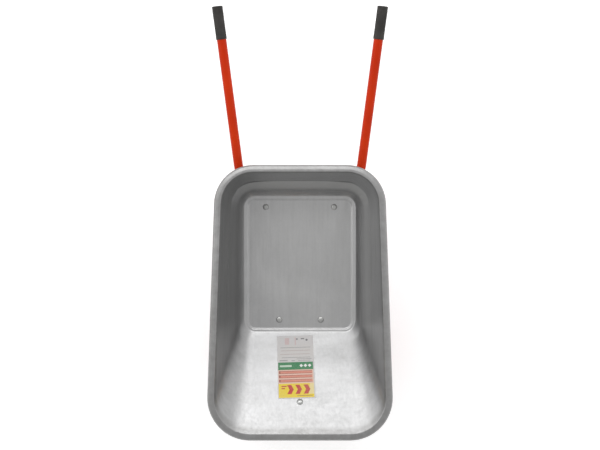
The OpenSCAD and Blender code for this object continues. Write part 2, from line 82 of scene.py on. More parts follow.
# Tray: floor panel, ledge round it, walls and rolled rim
RIM_W = 24 * MM
REAR_RUN = 63 * MM
FLOOR_L, FLOOR_W = 508 * MM, 428 * MM
PANEL_DROP = 5 * MM
PANEL_EDGE = (12 * MM, 6 * MM, 11 * MM)  # foot of the wall, ledge and step, at the sides and the rear
PANEL_EDGE_FRONT = (2 * MM, 4 * MM, 9 * MM)
FILLET_F, FILLET_LIFT = 0.11, 7.5 * MM  # the fillet's share of the wall, and how far it swells inwards
CREASE_F = 0.54  # the crease's height, as a share of the wall
MOUTH_DROP = 2.2 * MM  # where the rim starts to turn outwards, under the rim's top
CORNER_REAR, CORNER_FRONT, CORNER_FLOOR = 135 * MM, 145 * MM, 52 * MM
RIM_Z = tray_hi.z
FLOOR_Z = tray_lo.z + SHEET
LEDGE_Z = FLOOR_Z + PANEL_DROP
WALL_H = RIM_Z - LEDGE_Z
MOUTH_REAR, MOUTH_FRONT = tray_hi.y - RIM_W, tray_lo.y + RIM_W
FLOOR_REAR = MOUTH_REAR - REAR_RUN
FLOOR_FRONT = FLOOR_REAR - FLOOR_L
RIM_TAPER = (630 - 584) / 2 * MM / (tray_hi.y - tray_lo.y - CORNER_REAR - CORNER_FRONT)
MOUTH_HALF_W = 584 / 2 * MM - RIM_TAPER * (CORNER_REAR - RIM_W) - RIM_W

# Front slope: its foot, its direction upwards and its upward normal
SLOPE_FOOT = Vector((0, FLOOR_FRONT, LEDGE_Z))
SLOPE_DIR = Vector((0, MOUTH_FRONT - FLOOR_FRONT, WALL_H)).normalized()
SLOPE_UP = Vector((0, WALL_H, FLOOR_FRONT - MOUTH_FRONT)).normalized()
SLOPE_ANGLE = math.atan2(WALL_H, FLOOR_FRONT - MOUTH_FRONT)
SLOPE_T = SHEET * (math.sin(SLOPE_ANGLE) + math.cos(SLOPE_ANGLE))
SLOPE_BOLT = SLOPE_FOOT + SLOPE_DIR * 267 * MM

# Frame tube and legs: centre lines
REAR_BOLT_X, FRONT_BOLT_X = 125 * MM, 76 * MM
REAR_BOLT_Y, FRONT_BOLT_Y = FLOOR_REAR - 51 * MM, FLOOR_FRONT + 44 * MM
FRAME_LEAN = (REAR_BOLT_X - FRONT_BOLT_X) / (REAR_BOLT_Y - FRONT_BOLT_Y)
UNDER_FLOOR = FLOOR_Z - SHEET - SEAT - TUBE_R
NOSE = SLOPE_BOLT - SLOPE_UP * (SLOPE_T + SEAT + TUBE_R)
GRIP_D, GRIP_L = 36 * MM, 108 * MM
HANDLE_LEAN, HANDLE_RISE = 0.1165, 0.25
HANDLE_DIR = Vector((HANDLE_LEAN, 1, HANDLE_RISE)).normalized()
GRIP_END_Y = cad_box[1].y - GRIP_D / 2 * math.sin(math.acos(HANDLE_DIR.y))
GRIP_END = Vector((275 * MM, GRIP_END_Y, 640 * MM))


def clamp(value):
    return max(0.0, min(1.0, value))


def frame_x(y):
    """The tube's centre line under the floor; its two runs draw together towards the front."""
    return REAR_BOLT_X + (y - REAR_BOLT_Y) * FRAME_LEAN


def handle_at(y):
    """A point on the right handle's centre line."""
    return GRIP_END + Vector((HANDLE_LEAN, 1, HANDLE_RISE)) * (y - GRIP_END_Y)


def mirrored(points):
    return [Vector((-p.x, p.y, p.z)) for p in points]


# ---------------------------------------------------------------- materials


class Finish:
    """A node material on Object coordinates, built up from layers."""

    def __init__(self, name, **sockets):
        self.material = bpy.data.materials.new(name)
        self.material.use_nodes = True
        self.tree = self.material.node_tree
        self.shader = self.tree.nodes["Principled BSDF"]
        for socket, value in sockets.items():
            self.shader.inputs[socket.replace("_", " ")].default_value = value
        self.place = self.add("ShaderNodeTexCoord").outputs["Object"]

    def add(self, kind, inputs=(), **settings):
        node = self.tree.nodes.new(kind)
        for key, value in settings.items():
            setattr(node, key, value)
        for key, value in dict(inputs).items():
            if isinstance(value, bpy.types.NodeSocket):
                self.tree.links.new(value, node.inputs[key])
            else:
                node.inputs[key].default_value = value
        return node

    def stretched(self, scale):
        return self.add("ShaderNodeMapping", {"Vector": self.place, "Scale": scale}).outputs[0]

    def noise(self, scale, detail=4, rough=0.55, stretch=None, twist=0.0):
        place = self.stretched(stretch) if stretch else self.place
        return self.add("ShaderNodeTexNoise", {
            "Vector": place, "Scale": scale, "Detail": detail, "Roughness": rough, "Distortion": twist,
        }).outputs["Fac"]

    def cells(self, scale):
        return self.add("ShaderNodeTexVoronoi", {"Vector": self.place, "Scale": scale}).outputs["Color"]

    def spread(self, value, low, high, out_low=0.0, out_high=1.0):
        return self.add("ShaderNodeMapRange", {
            "Value": value, "From Min": low, "From Max": high, "To Min": out_low, "To Max": out_high,
        }, clamp=True).outputs[0]

    def math(self, operation, a, b=0.0):
        return self.add("ShaderNodeMath", {0: a, 1: b}, operation=operation).outputs[0]

    def mix(self, factor, a, b):
        node = self.add("ShaderNodeMix", data_type="RGBA")
        for index, value in ((0, factor), (6, a), (7, b)):
            if isinstance(value, bpy.types.NodeSocket):
                self.tree.links.new(value, node.inputs[index])
            else:
                node.inputs[index].default_value = value
        return node.outputs[2]

    def edges(self, distance):
        """1 on sharp outer edges, 0 on flat ground: where paint and zinc wear first."""
        bevel = self.add("ShaderNodeBevel", {"Radius": distance}, samples=4).outputs[0]
        normal = self.add("ShaderNodeNewGeometry").outputs["Normal"]
        dot = self.add("ShaderNodeVectorMath", {0: bevel, 1: normal}, operation="DOT_PRODUCT").outputs["Value"]
        return self.spread(dot, 0.995, 0.90)

    def bump(self, height, strength, distance, under=None):
        inputs = {"Height": height, "Strength": strength, "Distance": distance}
        if under is not None:
            inputs["Normal"] = under
        return self.add("ShaderNodeBump", inputs).outputs[0]

    def finish(self, colour, roughness, normal):
        for socket, value in (("Base Color", colour), ("Roughness", roughness), ("Normal", normal)):
            self.tree.links.new(value, self.shader.inputs[socket])
        return self.material


def rgb(r, g, b):
    return (r, g, b, 1.0)


def galvanised_sheet():
    f = Finish("galvanised sheet", Metallic=1.0)
    clouds = f.noise(5, detail=5, rough=0.6, twist=0.4)
    streaks = f.noise(9, detail=6, rough=0.7, stretch=(14, 0.6, 14))
    grain = f.noise(420, detail=3, rough=0.6)
    spangle = f.add("ShaderNodeSeparateColor", {0: f.cells(170)}).outputs[0]
    tone = f.mix(f.spread(clouds, 0.3, 0.72), rgb(0.43, 0.43, 0.435), rgb(0.52, 0.52, 0.52))
    tone = f.mix(f.spread(streaks, 0.42, 0.72, 0.0, 0.45), tone, rgb(0.38, 0.38, 0.38))
    tone = f.mix(f.spread(spangle, 0.0, 1.0, 0.0, 0.14), tone, rgb(0.60, 0.60, 0.60))
    oxide = f.spread(f.noise(11, detail=7, rough=0.72, stretch=(1, 0.35, 4.5)), 0.46, 0.66, 0.0, 0.34)
    tone = f.mix(oxide, tone, rgb(0.34, 0.34, 0.335))
    handling = f.spread(f.noise(26, detail=8, rough=0.75), 0.60, 0.74, 0.0, 0.35)
    tone = f.mix(handling, tone, rgb(0.38, 0.37, 0.355))
    height = f.add("ShaderNodeSeparateXYZ", {0: f.place}).outputs["Z"]
    rim = f.spread(height, RIM_Z - 16 * MM, RIM_Z - 8 * MM)
    # the rim's top band: a darker, mottled grey
    band_mask = f.math("MULTIPLY", rim, f.spread(f.noise(38, detail=7, rough=0.7), 0.35, 0.65, 0.45, 0.95))
    tone = f.mix(band_mask, tone, rgb(0.325, 0.322, 0.318))
    # painted light and shade from the tray's points: above 0 mixes in a lighter grey as painted highlight,
    # below 0 a dark grey as painted shade
    painted_light = f.add("ShaderNodeAttribute", attribute_name="painted_light").outputs["Fac"]
    tone = f.mix(f.spread(painted_light, 0.0, 1.0, 0.0, 0.9), tone, rgb(0.72, 0.72, 0.71))
    tone = f.mix(f.spread(painted_light, 0.0, -1.0, 0.0, 0.9), tone, rgb(0.16, 0.16, 0.157))
    rough = f.spread(clouds, 0.25, 0.75, 0.29, 0.41)
    rough = f.math("ADD", rough, f.spread(streaks, 0.4, 0.8, 0.0, 0.07))
    rough = f.math("ADD", rough, f.spread(spangle, 0.0, 1.0, -0.03, 0.03))
    relief = f.math("ADD", f.spread(grain, 0.0, 1.0, 0.0, 0.35), f.spread(spangle, 0.0, 1.0, 0.0, 0.5))
    soft = f.bump(f.noise(4.5, detail=1.5, rough=0.4), 1.0, 8 * MM)
    return f.finish(tone, rough, f.bump(relief, 0.10, 0.05 * MM, soft))


def glossy_paint(name, main, deep, primer):
    f = Finish(name, Coat_Weight=0.03, Coat_Roughness=0.10, Specular_IOR_Level=0.11)
    drift = f.noise(7, detail=3)
    peel = f.noise(330, detail=2, rough=0.5)
    scuffs = f.spread(f.noise(46, detail=9, rough=0.8, stretch=(1, 0.35, 1)), 0.655, 0.70)
    tone = f.mix(f.spread(drift, 0.3, 0.7), main, deep)
    tone = f.mix(f.math("MULTIPLY", scuffs, 0.35), tone, deep)
    worn = f.math("MULTIPLY", f.edges(1.2 * MM), f.spread(f.noise(75, detail=6, rough=0.7), 0.50, 0.62))
    tone = f.mix(worn, tone, primer)
    rough = f.spread(drift, 0.3, 0.7, 0.26, 0.36)
    rough = f.math("ADD", rough, f.math("MULTIPLY", f.math("ADD", scuffs, worn), 0.22))
    chips = f.bump(f.math("SUBTRACT", 1.0, worn), 0.35, 0.15 * MM)
    return f.finish(tone, rough, f.bump(peel, 0.05, 0.25 * MM, chips))


def moulded_rubber(name, dark, dusty, dust, rough_low, rough_high):
    f = Finish(name, Specular_IOR_Level=0.35)
    clouds = f.noise(18, detail=6, rough=0.65)
    grain = f.noise(700, detail=3, rough=0.6)
    tone = f.mix(f.spread(clouds, 0.42, 0.70, 0.0, dust), dark, dusty)
    tone = f.mix(f.math("MULTIPLY", f.edges(1.0 * MM), 0.45), tone, dusty)
    rough = f.spread(clouds, 0.3, 0.7, rough_low, rough_high)
    return f.finish(tone, rough, f.bump(grain, 0.22, 0.12 * MM))


def machined_steel(name, light, dark, rough_low, rough_high, rust=0.0):
    f = Finish(name, Metallic=1.0)
    lines = f.noise(260, detail=3, rough=0.6, stretch=(3, 0.7, 0.7))
    clouds = f.noise(40, detail=6, rough=0.65)
    tone = f.mix(f.spread(clouds, 0.35, 0.68), light, dark)
    tone = f.mix(f.math("MULTIPLY", f.edges(0.5 * MM), 0.4), tone, rgb(0.86, 0.86, 0.84))
    stain = f.spread(f.noise(95, detail=7, rough=0.75), 0.58, 0.70, 0.0, rust)
    tone = f.mix(stain, tone, rgb(0.24, 0.12, 0.06))
    rough = f.math("ADD", f.spread(lines, 0.3, 0.7, rough_low, rough_high), f.math("MULTIPLY", stain, 0.3))
    return f.finish(tone, rough, f.bump(lines, 0.08, 0.05 * MM))


def printed_film():
    f = Finish("printed film", Specular_IOR_Level=0.45, Coat_Weight=0.15, Coat_Roughness=0.25)
    ink = f.add("ShaderNodeAttribute", attribute_name="ink").outputs["Color"]
    fibre = f.noise(240, detail=5, rough=0.7)
    yellowed = f.spread(f.noise(14, detail=4), 0.35, 0.75, 0.0, 0.16)
    tone = f.mix(yellowed, ink, rgb(0.62, 0.56, 0.42))
    tone = f.mix(f.spread(fibre, 0.45, 0.80, 0.0, 0.14), tone, rgb(0.95, 0.94, 0.90))
    return f.finish(tone, f.spread(fibre, 0.3, 0.7, 0.36, 0.52), f.bump(fibre, 0.10, 0.08 * MM))


SHEET_METAL = galvanised_sheet()
ORANGE_RED, DEEP_RED, PRIMER = rgb(0.66, 0.040, 0.004), rgb(0.54, 0.026, 0.003), rgb(0.20, 0.07, 0.04)
PAINT = glossy_paint("orange red paint", ORANGE_RED, DEEP_RED, PRIMER)
GRIP = moulded_rubber("grip rubber", rgb(0.030, 0.028, 0.026), rgb(0.085, 0.080, 0.074), 0.55, 0.55, 0.72)
TYRE = moulded_rubber("tyre rubber", rgb(0.018, 0.018, 0.019), rgb(0.060, 0.056, 0.050), 0.45, 0.62, 0.82)
BLACK = moulded_rubber("smooth rubber", rgb(0.014, 0.014, 0.014), rgb(0.035, 0.034, 0.032), 0.35, 0.42, 0.60)
ZINC = machined_steel("zinc plating", rgb(0.532, 0.532, 0.517), rgb(0.426, 0.433, 0.426), 0.24, 0.38)
STEEL = machined_steel("turned steel", rgb(0.56, 0.56, 0.55), rgb(0.42, 0.42, 0.41), 0.26, 0.42, 0.25)
GROUND = machined_steel("ground bearing steel", rgb(0.72, 0.72, 0.73), rgb(0.60, 0.60, 0.61), 0.12, 0.22)
FILM = printed_film()

# ---------------------------------------------------------------- mesh helpers


def make_piece(name, mesh, material, smooth=None):
    """Links a mesh as an object. smooth is the angle in degrees below which edges shade smoothly."""
    obj = bpy.data.objects.new(name, mesh)
    bpy.context.scene.collection.objects.link(obj)
    if material:
        mesh.materials.clear()
        mesh.materials.append(material)
    if smooth is not None:
        mesh.polygons.foreach_set("use_smooth", [True] * len(mesh.polygons))
        mesh.set_sharp_from_angle(angle=math.radians(smooth))
    return obj


def mesh_from(name, points, faces):
    mesh = bpy.data.meshes.new(name)
    mesh.from_pydata([tuple(p) for p in points], [], faces)
    mesh.validate()
    return mesh


def outward(mesh):
    bm = bmesh.new()
    bm.from_mesh(mesh)
    bmesh.ops.remove_doubles(bm, verts=bm.verts, dist=1e-6)
    bmesh.ops.recalc_face_normals(bm, faces=bm.faces)
    bm.to_mesh(mesh)
    bm.free()
    return mesh


def rounded(points, radii, steps):
    """An open 2D line with its corners rounded, each by its own radius."""
    out = []
    for i, (p, r) in enumerate(zip(points, radii)):
        if r == 0:
            out.append(Vector(p))
            continue
        p, a, b = Vector(p), Vector(points[i - 1]), Vector(points[i + 1])
        to_a, to_b = (a - p).normalized(), (b - p).normalized()
        half = math.acos(max(-1, min(1, to_a.dot(to_b)))) / 2
        back = min(r / math.tan(half), (a - p).length * 0.49, (b - p).length * 0.49)
        start, end = p + to_a * back, p + to_b * back
        for k in range(steps + 1):
            u = k / steps
            out.append(start * (1 - u) ** 2 + p * 2 * u * (1 - u) + end * u * u)
    return out


def thickened(line, thick):
    """A closed outline round an open 2D line, half the thickness on each side."""
    left, right = [], []
    for i, p in enumerate(line):
        a, b = line[max(i - 1, 0)], line[min(i + 1, len(line) - 1)]
        d = (Vector(b) - Vector(a)).normalized()
        side = Vector((-d.y, d.x)) * thick / 2
        left.append(Vector(p) + side)
        right.append(Vector(p) - side)
    return left + right[::-1]


def turned(section, segments, centre):
    """A closed section of (radius, x) points turned about an axis along X through centre."""
    points, faces = [], []
    n = len(section)
    for k in range(segments):
        a = 2 * math.pi * k / segments
        for r, x in section:
            points.append((centre[0] + x, centre[1] + r * math.sin(a), centre[2] + r * math.cos(a)))
    for k in range(segments):
        k2 = (k + 1) % segments
        for i in range(n):
            j = (i + 1) % n
            faces.append((k * n + i, k * n + j, k2 * n + j, k2 * n + i))
    return outward(mesh_from("turned", points, faces))


def softened(node, material, edge):
    """A copy of a CAD node with its loose triangles joined and its edges broken."""
    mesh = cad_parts[node].data.copy()
    bm = bmesh.new()
    bm.from_mesh(mesh)
    bmesh.ops.remove_doubles(bm, verts=bm.verts, dist=0.002 * MM)
    bmesh.ops.dissolve_limit(bm, angle_limit=math.radians(1.0), verts=bm.verts, edges=bm.edges)
    bm.to_mesh(mesh)
    bm.free()
    obj = make_piece(node + "_finished", mesh, material, smooth=40)
    bevel = obj.modifiers.new("edge", "BEVEL")
    bevel.width, bevel.segments, bevel.limit_method = edge, 2, "ANGLE"
    bevel.angle_limit = math.radians(40)
    bevel.use_clamp_overlap = True
    return obj


def refinish(node, material):
    """Gives a CAD node, which keeps its own shape, one of the materials above."""
    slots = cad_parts[node].data.materials
    slots.clear()
    slots.append(material)


def fit(obj, body, slot, *nodes):
    """Sets the piece on its body and hides the CAD nodes that it stands for. The slot is not used."""
    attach(obj, body)
    if nodes:
        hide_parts(*nodes)


# ---------------------------------------------------------------- geometry nodes


class NodeRule:
    """A Geometry Nodes tree with named inputs, which is run once on a mesh and left as plain mesh."""

    def __init__(self, name, **inputs):
        self.tree = bpy.data.node_groups.new(name, "GeometryNodeTree")
        self.keys = {}
        kinds = {float: "NodeSocketFloat", int: "NodeSocketInt", tuple: "NodeSocketVector"}
        face = self.tree.interface
        face.new_socket("Geometry", in_out="INPUT", socket_type="NodeSocketGeometry")
        for key, value in inputs.items():
            kind = "NodeSocketObject" if value is None else kinds[type(value)]
            socket = face.new_socket(key, in_out="INPUT", socket_type=kind)
            if value is not None:
                socket.default_value = value
            self.keys[key] = socket.identifier
        face.new_socket("Geometry", in_out="OUTPUT", socket_type="NodeSocketGeometry")
        self.start = self.tree.nodes.new("NodeGroupInput")
        self.end = self.tree.nodes.new("NodeGroupOutput")

    def input(self, key):
        return self.start.outputs[key]

    def add(self, kind, inputs=(), **settings):
        node = self.tree.nodes.new(kind)
        for key, value in settings.items():
            setattr(node, key, value)
        for key, value in dict(inputs).items():
            if isinstance(value, bpy.types.NodeSocket):
                self.tree.links.new(value, node.inputs[key])
            else:
                node.inputs[key].default_value = value
        return node

    def math(self, operation, a, b=0.0):
        return self.add("ShaderNodeMath", {0: a, 1: b}, operation=operation).outputs[0]

    def close(self, geometry, material):
        real = self.add("GeometryNodeRealizeInstances", {"Geometry": geometry})
        painted = self.add("GeometryNodeSetMaterial", {"Geometry": real.outputs[0], "Material": material})
        self.tree.links.new(painted.outputs[0], self.end.inputs[0])

    def run(self, obj, smooth=40, **values):
        modifier = obj.modifiers.new("rule", "NODES")
        modifier.node_group = self.tree
        for key, value in values.items():
            modifier[self.keys[key]] = value
        deps = bpy.context.evaluated_depsgraph_get()
        mesh = bpy.data.meshes.new_from_object(obj.evaluated_get(deps))
        obj.modifiers.remove(modifier)
        obj.data = mesh
        mesh.polygons.foreach_set("use_smooth", [True] * len(mesh.polygons))
        mesh.set_sharp_from_angle(angle=math.radians(smooth))
        return obj


def tube_rule(material):
    """Bends a round tube along a route, with the bend radius stored on each corner."""
    rule = NodeRule("bent tube", Radius=TUBE_R, Sides=40, Bend_Steps=14)
    bend = rule.add("GeometryNodeInputNamedAttribute", {"Name": "bend"}, data_type="FLOAT").outputs[0]
    line = rule.add("GeometryNodeMeshToCurve", {0: rule.input("Geometry")}).outputs[0]
    line = rule.add("GeometryNodeFilletCurve", {
        "Curve": line, "Count": rule.input("Bend_Steps"), "Radius": bend, "Limit Radius": True,
    }, mode="POLY").outputs[0]
    circle = rule.add("GeometryNodeCurvePrimitiveCircle", {
        "Resolution": rule.input("Sides"), "Radius": rule.input("Radius"),
    })
    skin = rule.add("GeometryNodeCurveToMesh", {
        "Curve": line, "Profile Curve": circle.outputs[0], "Fill Caps": True,
    })
    rule.close(skin.outputs[0], material)
    return rule


def ring_rule(name, material):
    """Repeats a piece round the wheel's axle, which runs along X through Centre."""
    rule = NodeRule(name, Count=24, Centre=(0.0, 0.0, 0.0))
    count, centre = rule.input("Count"), rule.input("Centre")
    home = rule.add("ShaderNodeVectorMath", {0: centre, "Scale": -1.0}, operation="SCALE").outputs[0]
    block = rule.add("GeometryNodeTransform", {"Geometry": rule.input("Geometry"), "Translation": home})
    spots = rule.add("GeometryNodePoints", {"Count": count, "Position": centre})
    share = rule.math("DIVIDE", rule.add("GeometryNodeInputIndex").outputs[0], count)
    angle = rule.math("MULTIPLY", share, 2 * math.pi)
    euler = rule.add("ShaderNodeCombineXYZ", {"X": angle}).outputs[0]
    turn = rule.add("FunctionNodeEulerToRotation", {0: euler}).outputs[0]
    copies = rule.add("GeometryNodeInstanceOnPoints", {
        "Points": spots.outputs[0], "Instance": block.outputs[0], "Rotation": turn,
    })
    rule.close(copies.outputs[0], material)
    return rule


def spot_rule(name, material):
    """Sets a template piece on every point, its Z axis along the point's own direction."""
    rule = NodeRule(name, Template=None)
    up = rule.add("GeometryNodeInputNamedAttribute", {"Name": "up"}, data_type="FLOAT_VECTOR").outputs[0]
    turn = rule.add("FunctionNodeAlignRotationToVector", {"Vector": up}, axis="Z").outputs[0]
    model = rule.add("GeometryNodeObjectInfo", {"Object": rule.input("Template")}).outputs["Geometry"]
    copies = rule.add("GeometryNodeInstanceOnPoints", {
        "Points": rule.input("Geometry"), "Instance": model, "Rotation": turn,
    })
    rule.close(copies.outputs[0], material)
    return rule


def weld_rule(material):
    """Lays a rippled bead of weld along a closed line."""
    rule = NodeRule("weld bead", Radius=2.2 * MM, Step=1.2 * MM, Ripple=2.6 * MM)
    line = rule.add("GeometryNodeMeshToCurve", {0: rule.input("Geometry")}).outputs[0]
    line = rule.add("GeometryNodeResampleCurve", {
        "Curve": line, "Length": rule.input("Step"),
    }, mode="LENGTH").outputs[0]
    along = rule.add("GeometryNodeSplineParameter").outputs["Length"]
    phase = rule.math("MULTIPLY", rule.math("DIVIDE", along, rule.input("Ripple")), math.pi)
    wave = rule.math("ABSOLUTE", rule.math("SINE", phase))
    swell = rule.math("ADD", rule.math("MULTIPLY", wave, 0.28), 0.82)
    circle = rule.add("GeometryNodeCurvePrimitiveCircle", {"Resolution": 10, "Radius": rule.input("Radius")})
    skin = rule.add("GeometryNodeCurveToMesh", {
        "Curve": line, "Profile Curve": circle.outputs[0], "Scale": swell,
    })
    rule.close(skin.outputs[0], material)
    return rule


BENT_TUBE = tube_rule(PAINT)
WELD = weld_rule(PAINT)


def route_object(name, points, bends=None, closed=False):
    n = len(points)
    edges = [(i, i + 1) for i in range(n - 1)] + ([(n - 1, 0)] if closed else [])
    mesh = bpy.data.meshes.new(name)
    mesh.from_pydata([tuple(p) for p in points], edges, [])
    if bends:
        mesh.attributes.new("bend", "FLOAT", "POINT").data.foreach_set("value", bends)
    obj = bpy.data.objects.new(name, mesh)
    bpy.context.scene.collection.objects.link(obj)
    return obj


# ---------------------------------------------------------------- tray


def blend(a, b, f):
    return a + (b - a) * f


def tray_outline(f, grow):
    """The tray's outline between the floor (f = 0) and the mouth (f = 1), grown outwards."""
    rear, front = blend(FLOOR_REAR, MOUTH_REAR, f), blend(FLOOR_FRONT, MOUTH_FRONT, f)
    taper = blend(0, RIM_TAPER, f)
    lean = math.atan(taper)
    right = []
    for y_edge, r_mouth, sign, start, end in (
        (rear, CORNER_REAR, -1, math.pi / 2, lean), (front, CORNER_FRONT, 1, lean, -math.pi / 2)
    ):
        r = blend(CORNER_FLOOR, r_mouth - RIM_W, f)
        y = y_edge + sign * r
        x = blend(FLOOR_W / 2, MOUTH_HALF_W, f) + (rear - y) * taper - r / math.cos(lean)
        steps = 16
        for i in range(steps + 1):
            a = start + (end - start) * i / steps
            right.append(Vector((x + (r + grow) * math.cos(a), y + (r + grow) * math.sin(a))))
    half = len(right) // 2
    side = [right[half - 1].lerp(right[half], k / 22) for k in range(1, 22)]
    right = right[:half] + side + right[half:]
    left = [Vector((-p.x, p.y)) for p in reversed(right)]
    front_edge = [right[-1].lerp(left[0], k / 10) for k in range(1, 10)]
    rear_edge = [left[-1].lerp(right[0], k / 10) for k in range(1, 10)]
    return right + front_edge + left + rear_edge


def tray_section():
    """The sheet's steps from the panel to the wall's top, and the rim's outline as (out, up).

    A step is (f, grow at the sides and the rear, grow at the front, z, extra lift).
    """
    foot, _, drop = PANEL_EDGE
    front_foot, _, front_drop = PANEL_EDGE_FRONT
    edge, front_edge = -sum(PANEL_EDGE), -sum(PANEL_EDGE_FRONT)
    steps = [(0, edge - 2 * MM, front_edge - 2 * MM, FLOOR_Z, 0)]
    for k in range(9):
        u = k / 8
        z = FLOOR_Z + PANEL_DROP * (3 * u * u - 2 * u**3)
        steps.append((0, edge + drop * u, front_edge + front_drop * u, z, 0))
    steps.append((0, -foot, -front_foot, LEDGE_Z, 0))
    for k in range(1, 13):
        u = k / 12
        lift = FILLET_LIFT * 2 * u * (1 - u)
        side_grow = -foot * (1 - u) ** 2 - 5 * MM * u * (1 - u)
        front_grow = -front_foot * (1 - u) ** 2 - 1.5 * MM * u * (1 - u)
        steps.append((FILLET_F * u * u, side_grow, front_grow, LEDGE_Z + FILLET_F * WALL_H * u * u, lift))
    levels = [blend(FILLET_F, 1 - MOUTH_DROP / WALL_H, k / 24) for k in range(1, 25)]
    levels = [f for f in levels if abs(f - CREASE_F) > 0.14]
    levels += [CREASE_F + 0.010 * k for k in range(-13, 14)] + [1 - 3.2 * MM / WALL_H]
    steps += [(f, 0, 0, LEDGE_Z + f * WALL_H, 0) for f in sorted(levels)]
    rim = rounded([
        (0, -MOUTH_DROP), (0.4 * MM, -0.1 * MM), (8 * MM, -0.6 * MM), (18 * MM, -2.8 * MM),
        (RIM_W - 1.0 * MM, -7 * MM), (RIM_W, -10.5 * MM), (RIM_W - 2.5 * MM, -13.5 * MM),
        (RIM_W - 5.2 * MM, -11.5 * MM),
    ], [0, 1.8 * MM, 8 * MM, 7 * MM, 3 * MM, 2.5 * MM, 2 * MM, 0], 5)
    return steps, rim


def crease_at(p):
    """The height of the crease that the press left in the wall, as a share of the wall."""
    rise = 0.035 * (abs(p.x) / 0.26) ** 4
    return CREASE_F + rise + 0.012 * noise.noise(Vector((p.x * 5, p.y * 5, 0.7)))


def wall_push(p, angle):
    """How far out the pressing's kinked and wrinkled wall lies from a straight one."""
    f, crease = (p.z - LEDGE_Z) / WALL_H, crease_at(p)
    fade = clamp((p.y - FLOOR_FRONT) / 0.22)
    above = clamp((f - crease) / 0.05 + 0.5)
    above *= above * (3 - 2 * above)
    rear = clamp((p.y - 70 * MM) / 0.04) * clamp((0.165 - abs(p.x)) / 0.06)
    sides = clamp((60 * MM - p.y) / 0.08) * 0.4
    kink = 6 * MM * f / crease * (1 - above) + 2.6 * MM * (1 - f) / (1 - crease) * above
    corner = clamp((abs(p.x) - 0.15) / 0.06) * clamp((p.y + 20 * MM) / 0.10)
    wrinkle = noise.noise(Vector((angle * 13, 3.1, f * 1.1))) * math.sin(math.pi * clamp(f)) * corner
    return kink * fade * max(rear, sides) + 2.4 * MM * wrinkle


def painted_sheet_light(p):
    """Painted light and shade on the sheet: above 0 a painted highlight, below 0 painted shade."""
    f, crease = (p.z - LEDGE_Z) / WALL_H, crease_at(p)
    if f < 0.005:  # the panel: lighter overall, with painted shade darker towards the left
        return 0.25 - 0.22 * clamp((-p.x - 20 * MM) / 0.16)
    rear = clamp((p.y - 60 * MM) / 0.05)
    # band_mask here is a painted highlight, a lighter band below the crease on the rear wall; line is painted
    # shade along the crease
    band_mask = clamp((f - 0.10) / 0.14) * clamp((crease - 0.02 - f) / 0.03)
    line = math.exp(-(((f - crease) / 0.022) ** 2)) * clamp((0.21 - abs(p.x)) / 0.05)
    behind_slope = clamp((p.y - FLOOR_FRONT + 60 * MM) / 0.12)
    # painted shade: the left wall, which faces away from the light, darker
    painted_left_shade = 0.62 * clamp((-p.x - 0.13) / 0.08) * clamp(f / 0.15) * clamp((0.98 - f) / 0.04)
    # painted light and shade on the right wall: a lighter band at mid-height, and painted shade at its foot
    painted_right_bands = 0.22 * math.exp(-(((f - 0.35) / 0.15) ** 2)) - 0.40 * math.exp(-(((f - 0.04) / 0.06) ** 2))
    painted_right_bands *= clamp((p.x - 0.17) / 0.05)
    return rear * (band_mask - line) + (painted_right_bands - painted_left_shade) * behind_slope


def wall_rings(steps):
    """The sheet's rings of points from the panel to the wall's top."""
    middle = Vector((0, (FLOOR_REAR + FLOOR_FRONT) / 2))
    inward = [(a - b).normalized() for a, b in zip(tray_outline(0, -10 * MM), tray_outline(0, 0))]
    rings = []
    for f, grow, front_grow, z, lift in steps:
        ring = [Vector((p.x, p.y, z)) for p in tray_outline(f, grow)]
        for p, near, direction in zip(ring, tray_outline(f, front_grow), inward):
            turn = math.asin(clamp(direction.y)) / (math.pi / 2)
            side = 1 - turn * turn * (3 - 2 * turn)
            p.xy = near.lerp(p.xy, side)
            p.z += lift * side
            if f > 0:
                away = (p.xy - middle).normalized()
                p.xy += away * wall_push(p, math.atan2(away.y, away.x))
        rings.append(ring)
    return rings


def rim_rings(rim):
    mouth = 1 - MOUTH_DROP / WALL_H
    rings = []
    for out, up in rim[1:]:
        f = mouth + (1 - mouth) * min(1.0, (up + MOUTH_DROP) / (2 * MM)) if out < 1 * MM else 1.0
        rings.append([Vector((p.x, p.y, RIM_Z + up)) for p in tray_outline(f, out)])
    return rings


def tray_mesh():
    """The sheet's upper face, with its painted light and shade stored on its points."""
    steps, rim = tray_section()
    rings = wall_rings(steps) + rim_rings(rim)
    panel = rings[0]
    centre = sum(panel, Vector()) / len(panel)
    rings = [[centre + (p - centre) * k for p in panel] for k in (0.12, 0.3, 0.5, 0.7, 0.86, 0.95)] + rings
    points = [p.copy() for ring in rings for p in ring]
    for p in points:  # pressed sheet is never quite flat
        p.z += 0.3 * MM * noise.noise(p * 8) * clamp((RIM_Z - 8 * MM - p.z) / (20 * MM))
    n = len(panel)
    faces = [tuple(range(n))]
    for k in range(len(rings) - 1):
        for i in range(n):
            j = (i + 1) % n
            faces.append((k * n + i, k * n + n + i, k * n + n + j, k * n + j))
    mesh = outward(mesh_from("tray", points, faces))
    if mesh.polygons[0].normal.z < 0:
        mesh.flip_normals()
    painted_light = mesh.attributes.new("painted_light", "FLOAT", "POINT")
    for vertex, value in zip(mesh.vertices, painted_light.data):
        value.value = painted_sheet_light(vertex.co)
    return mesh


tray = make_piece("tray_pressing", tray_mesh(), SHEET_METAL, smooth=60)
tray_faces = [polygon.vertices for polygon in tray.data.polygons]
tray_surface = BVHTree.FromPolygons([v.co for v in tray.data.vertices], tray_faces)
wall = tray.modifiers.new("sheet", "SOLIDIFY")
wall.thickness, wall.offset, wall.use_even_offset = SHEET, -1, False
fit(tray, "frame", "galvanised_tray", "tray")

# ---------------------------------------------------------------- frame tube, legs and welds

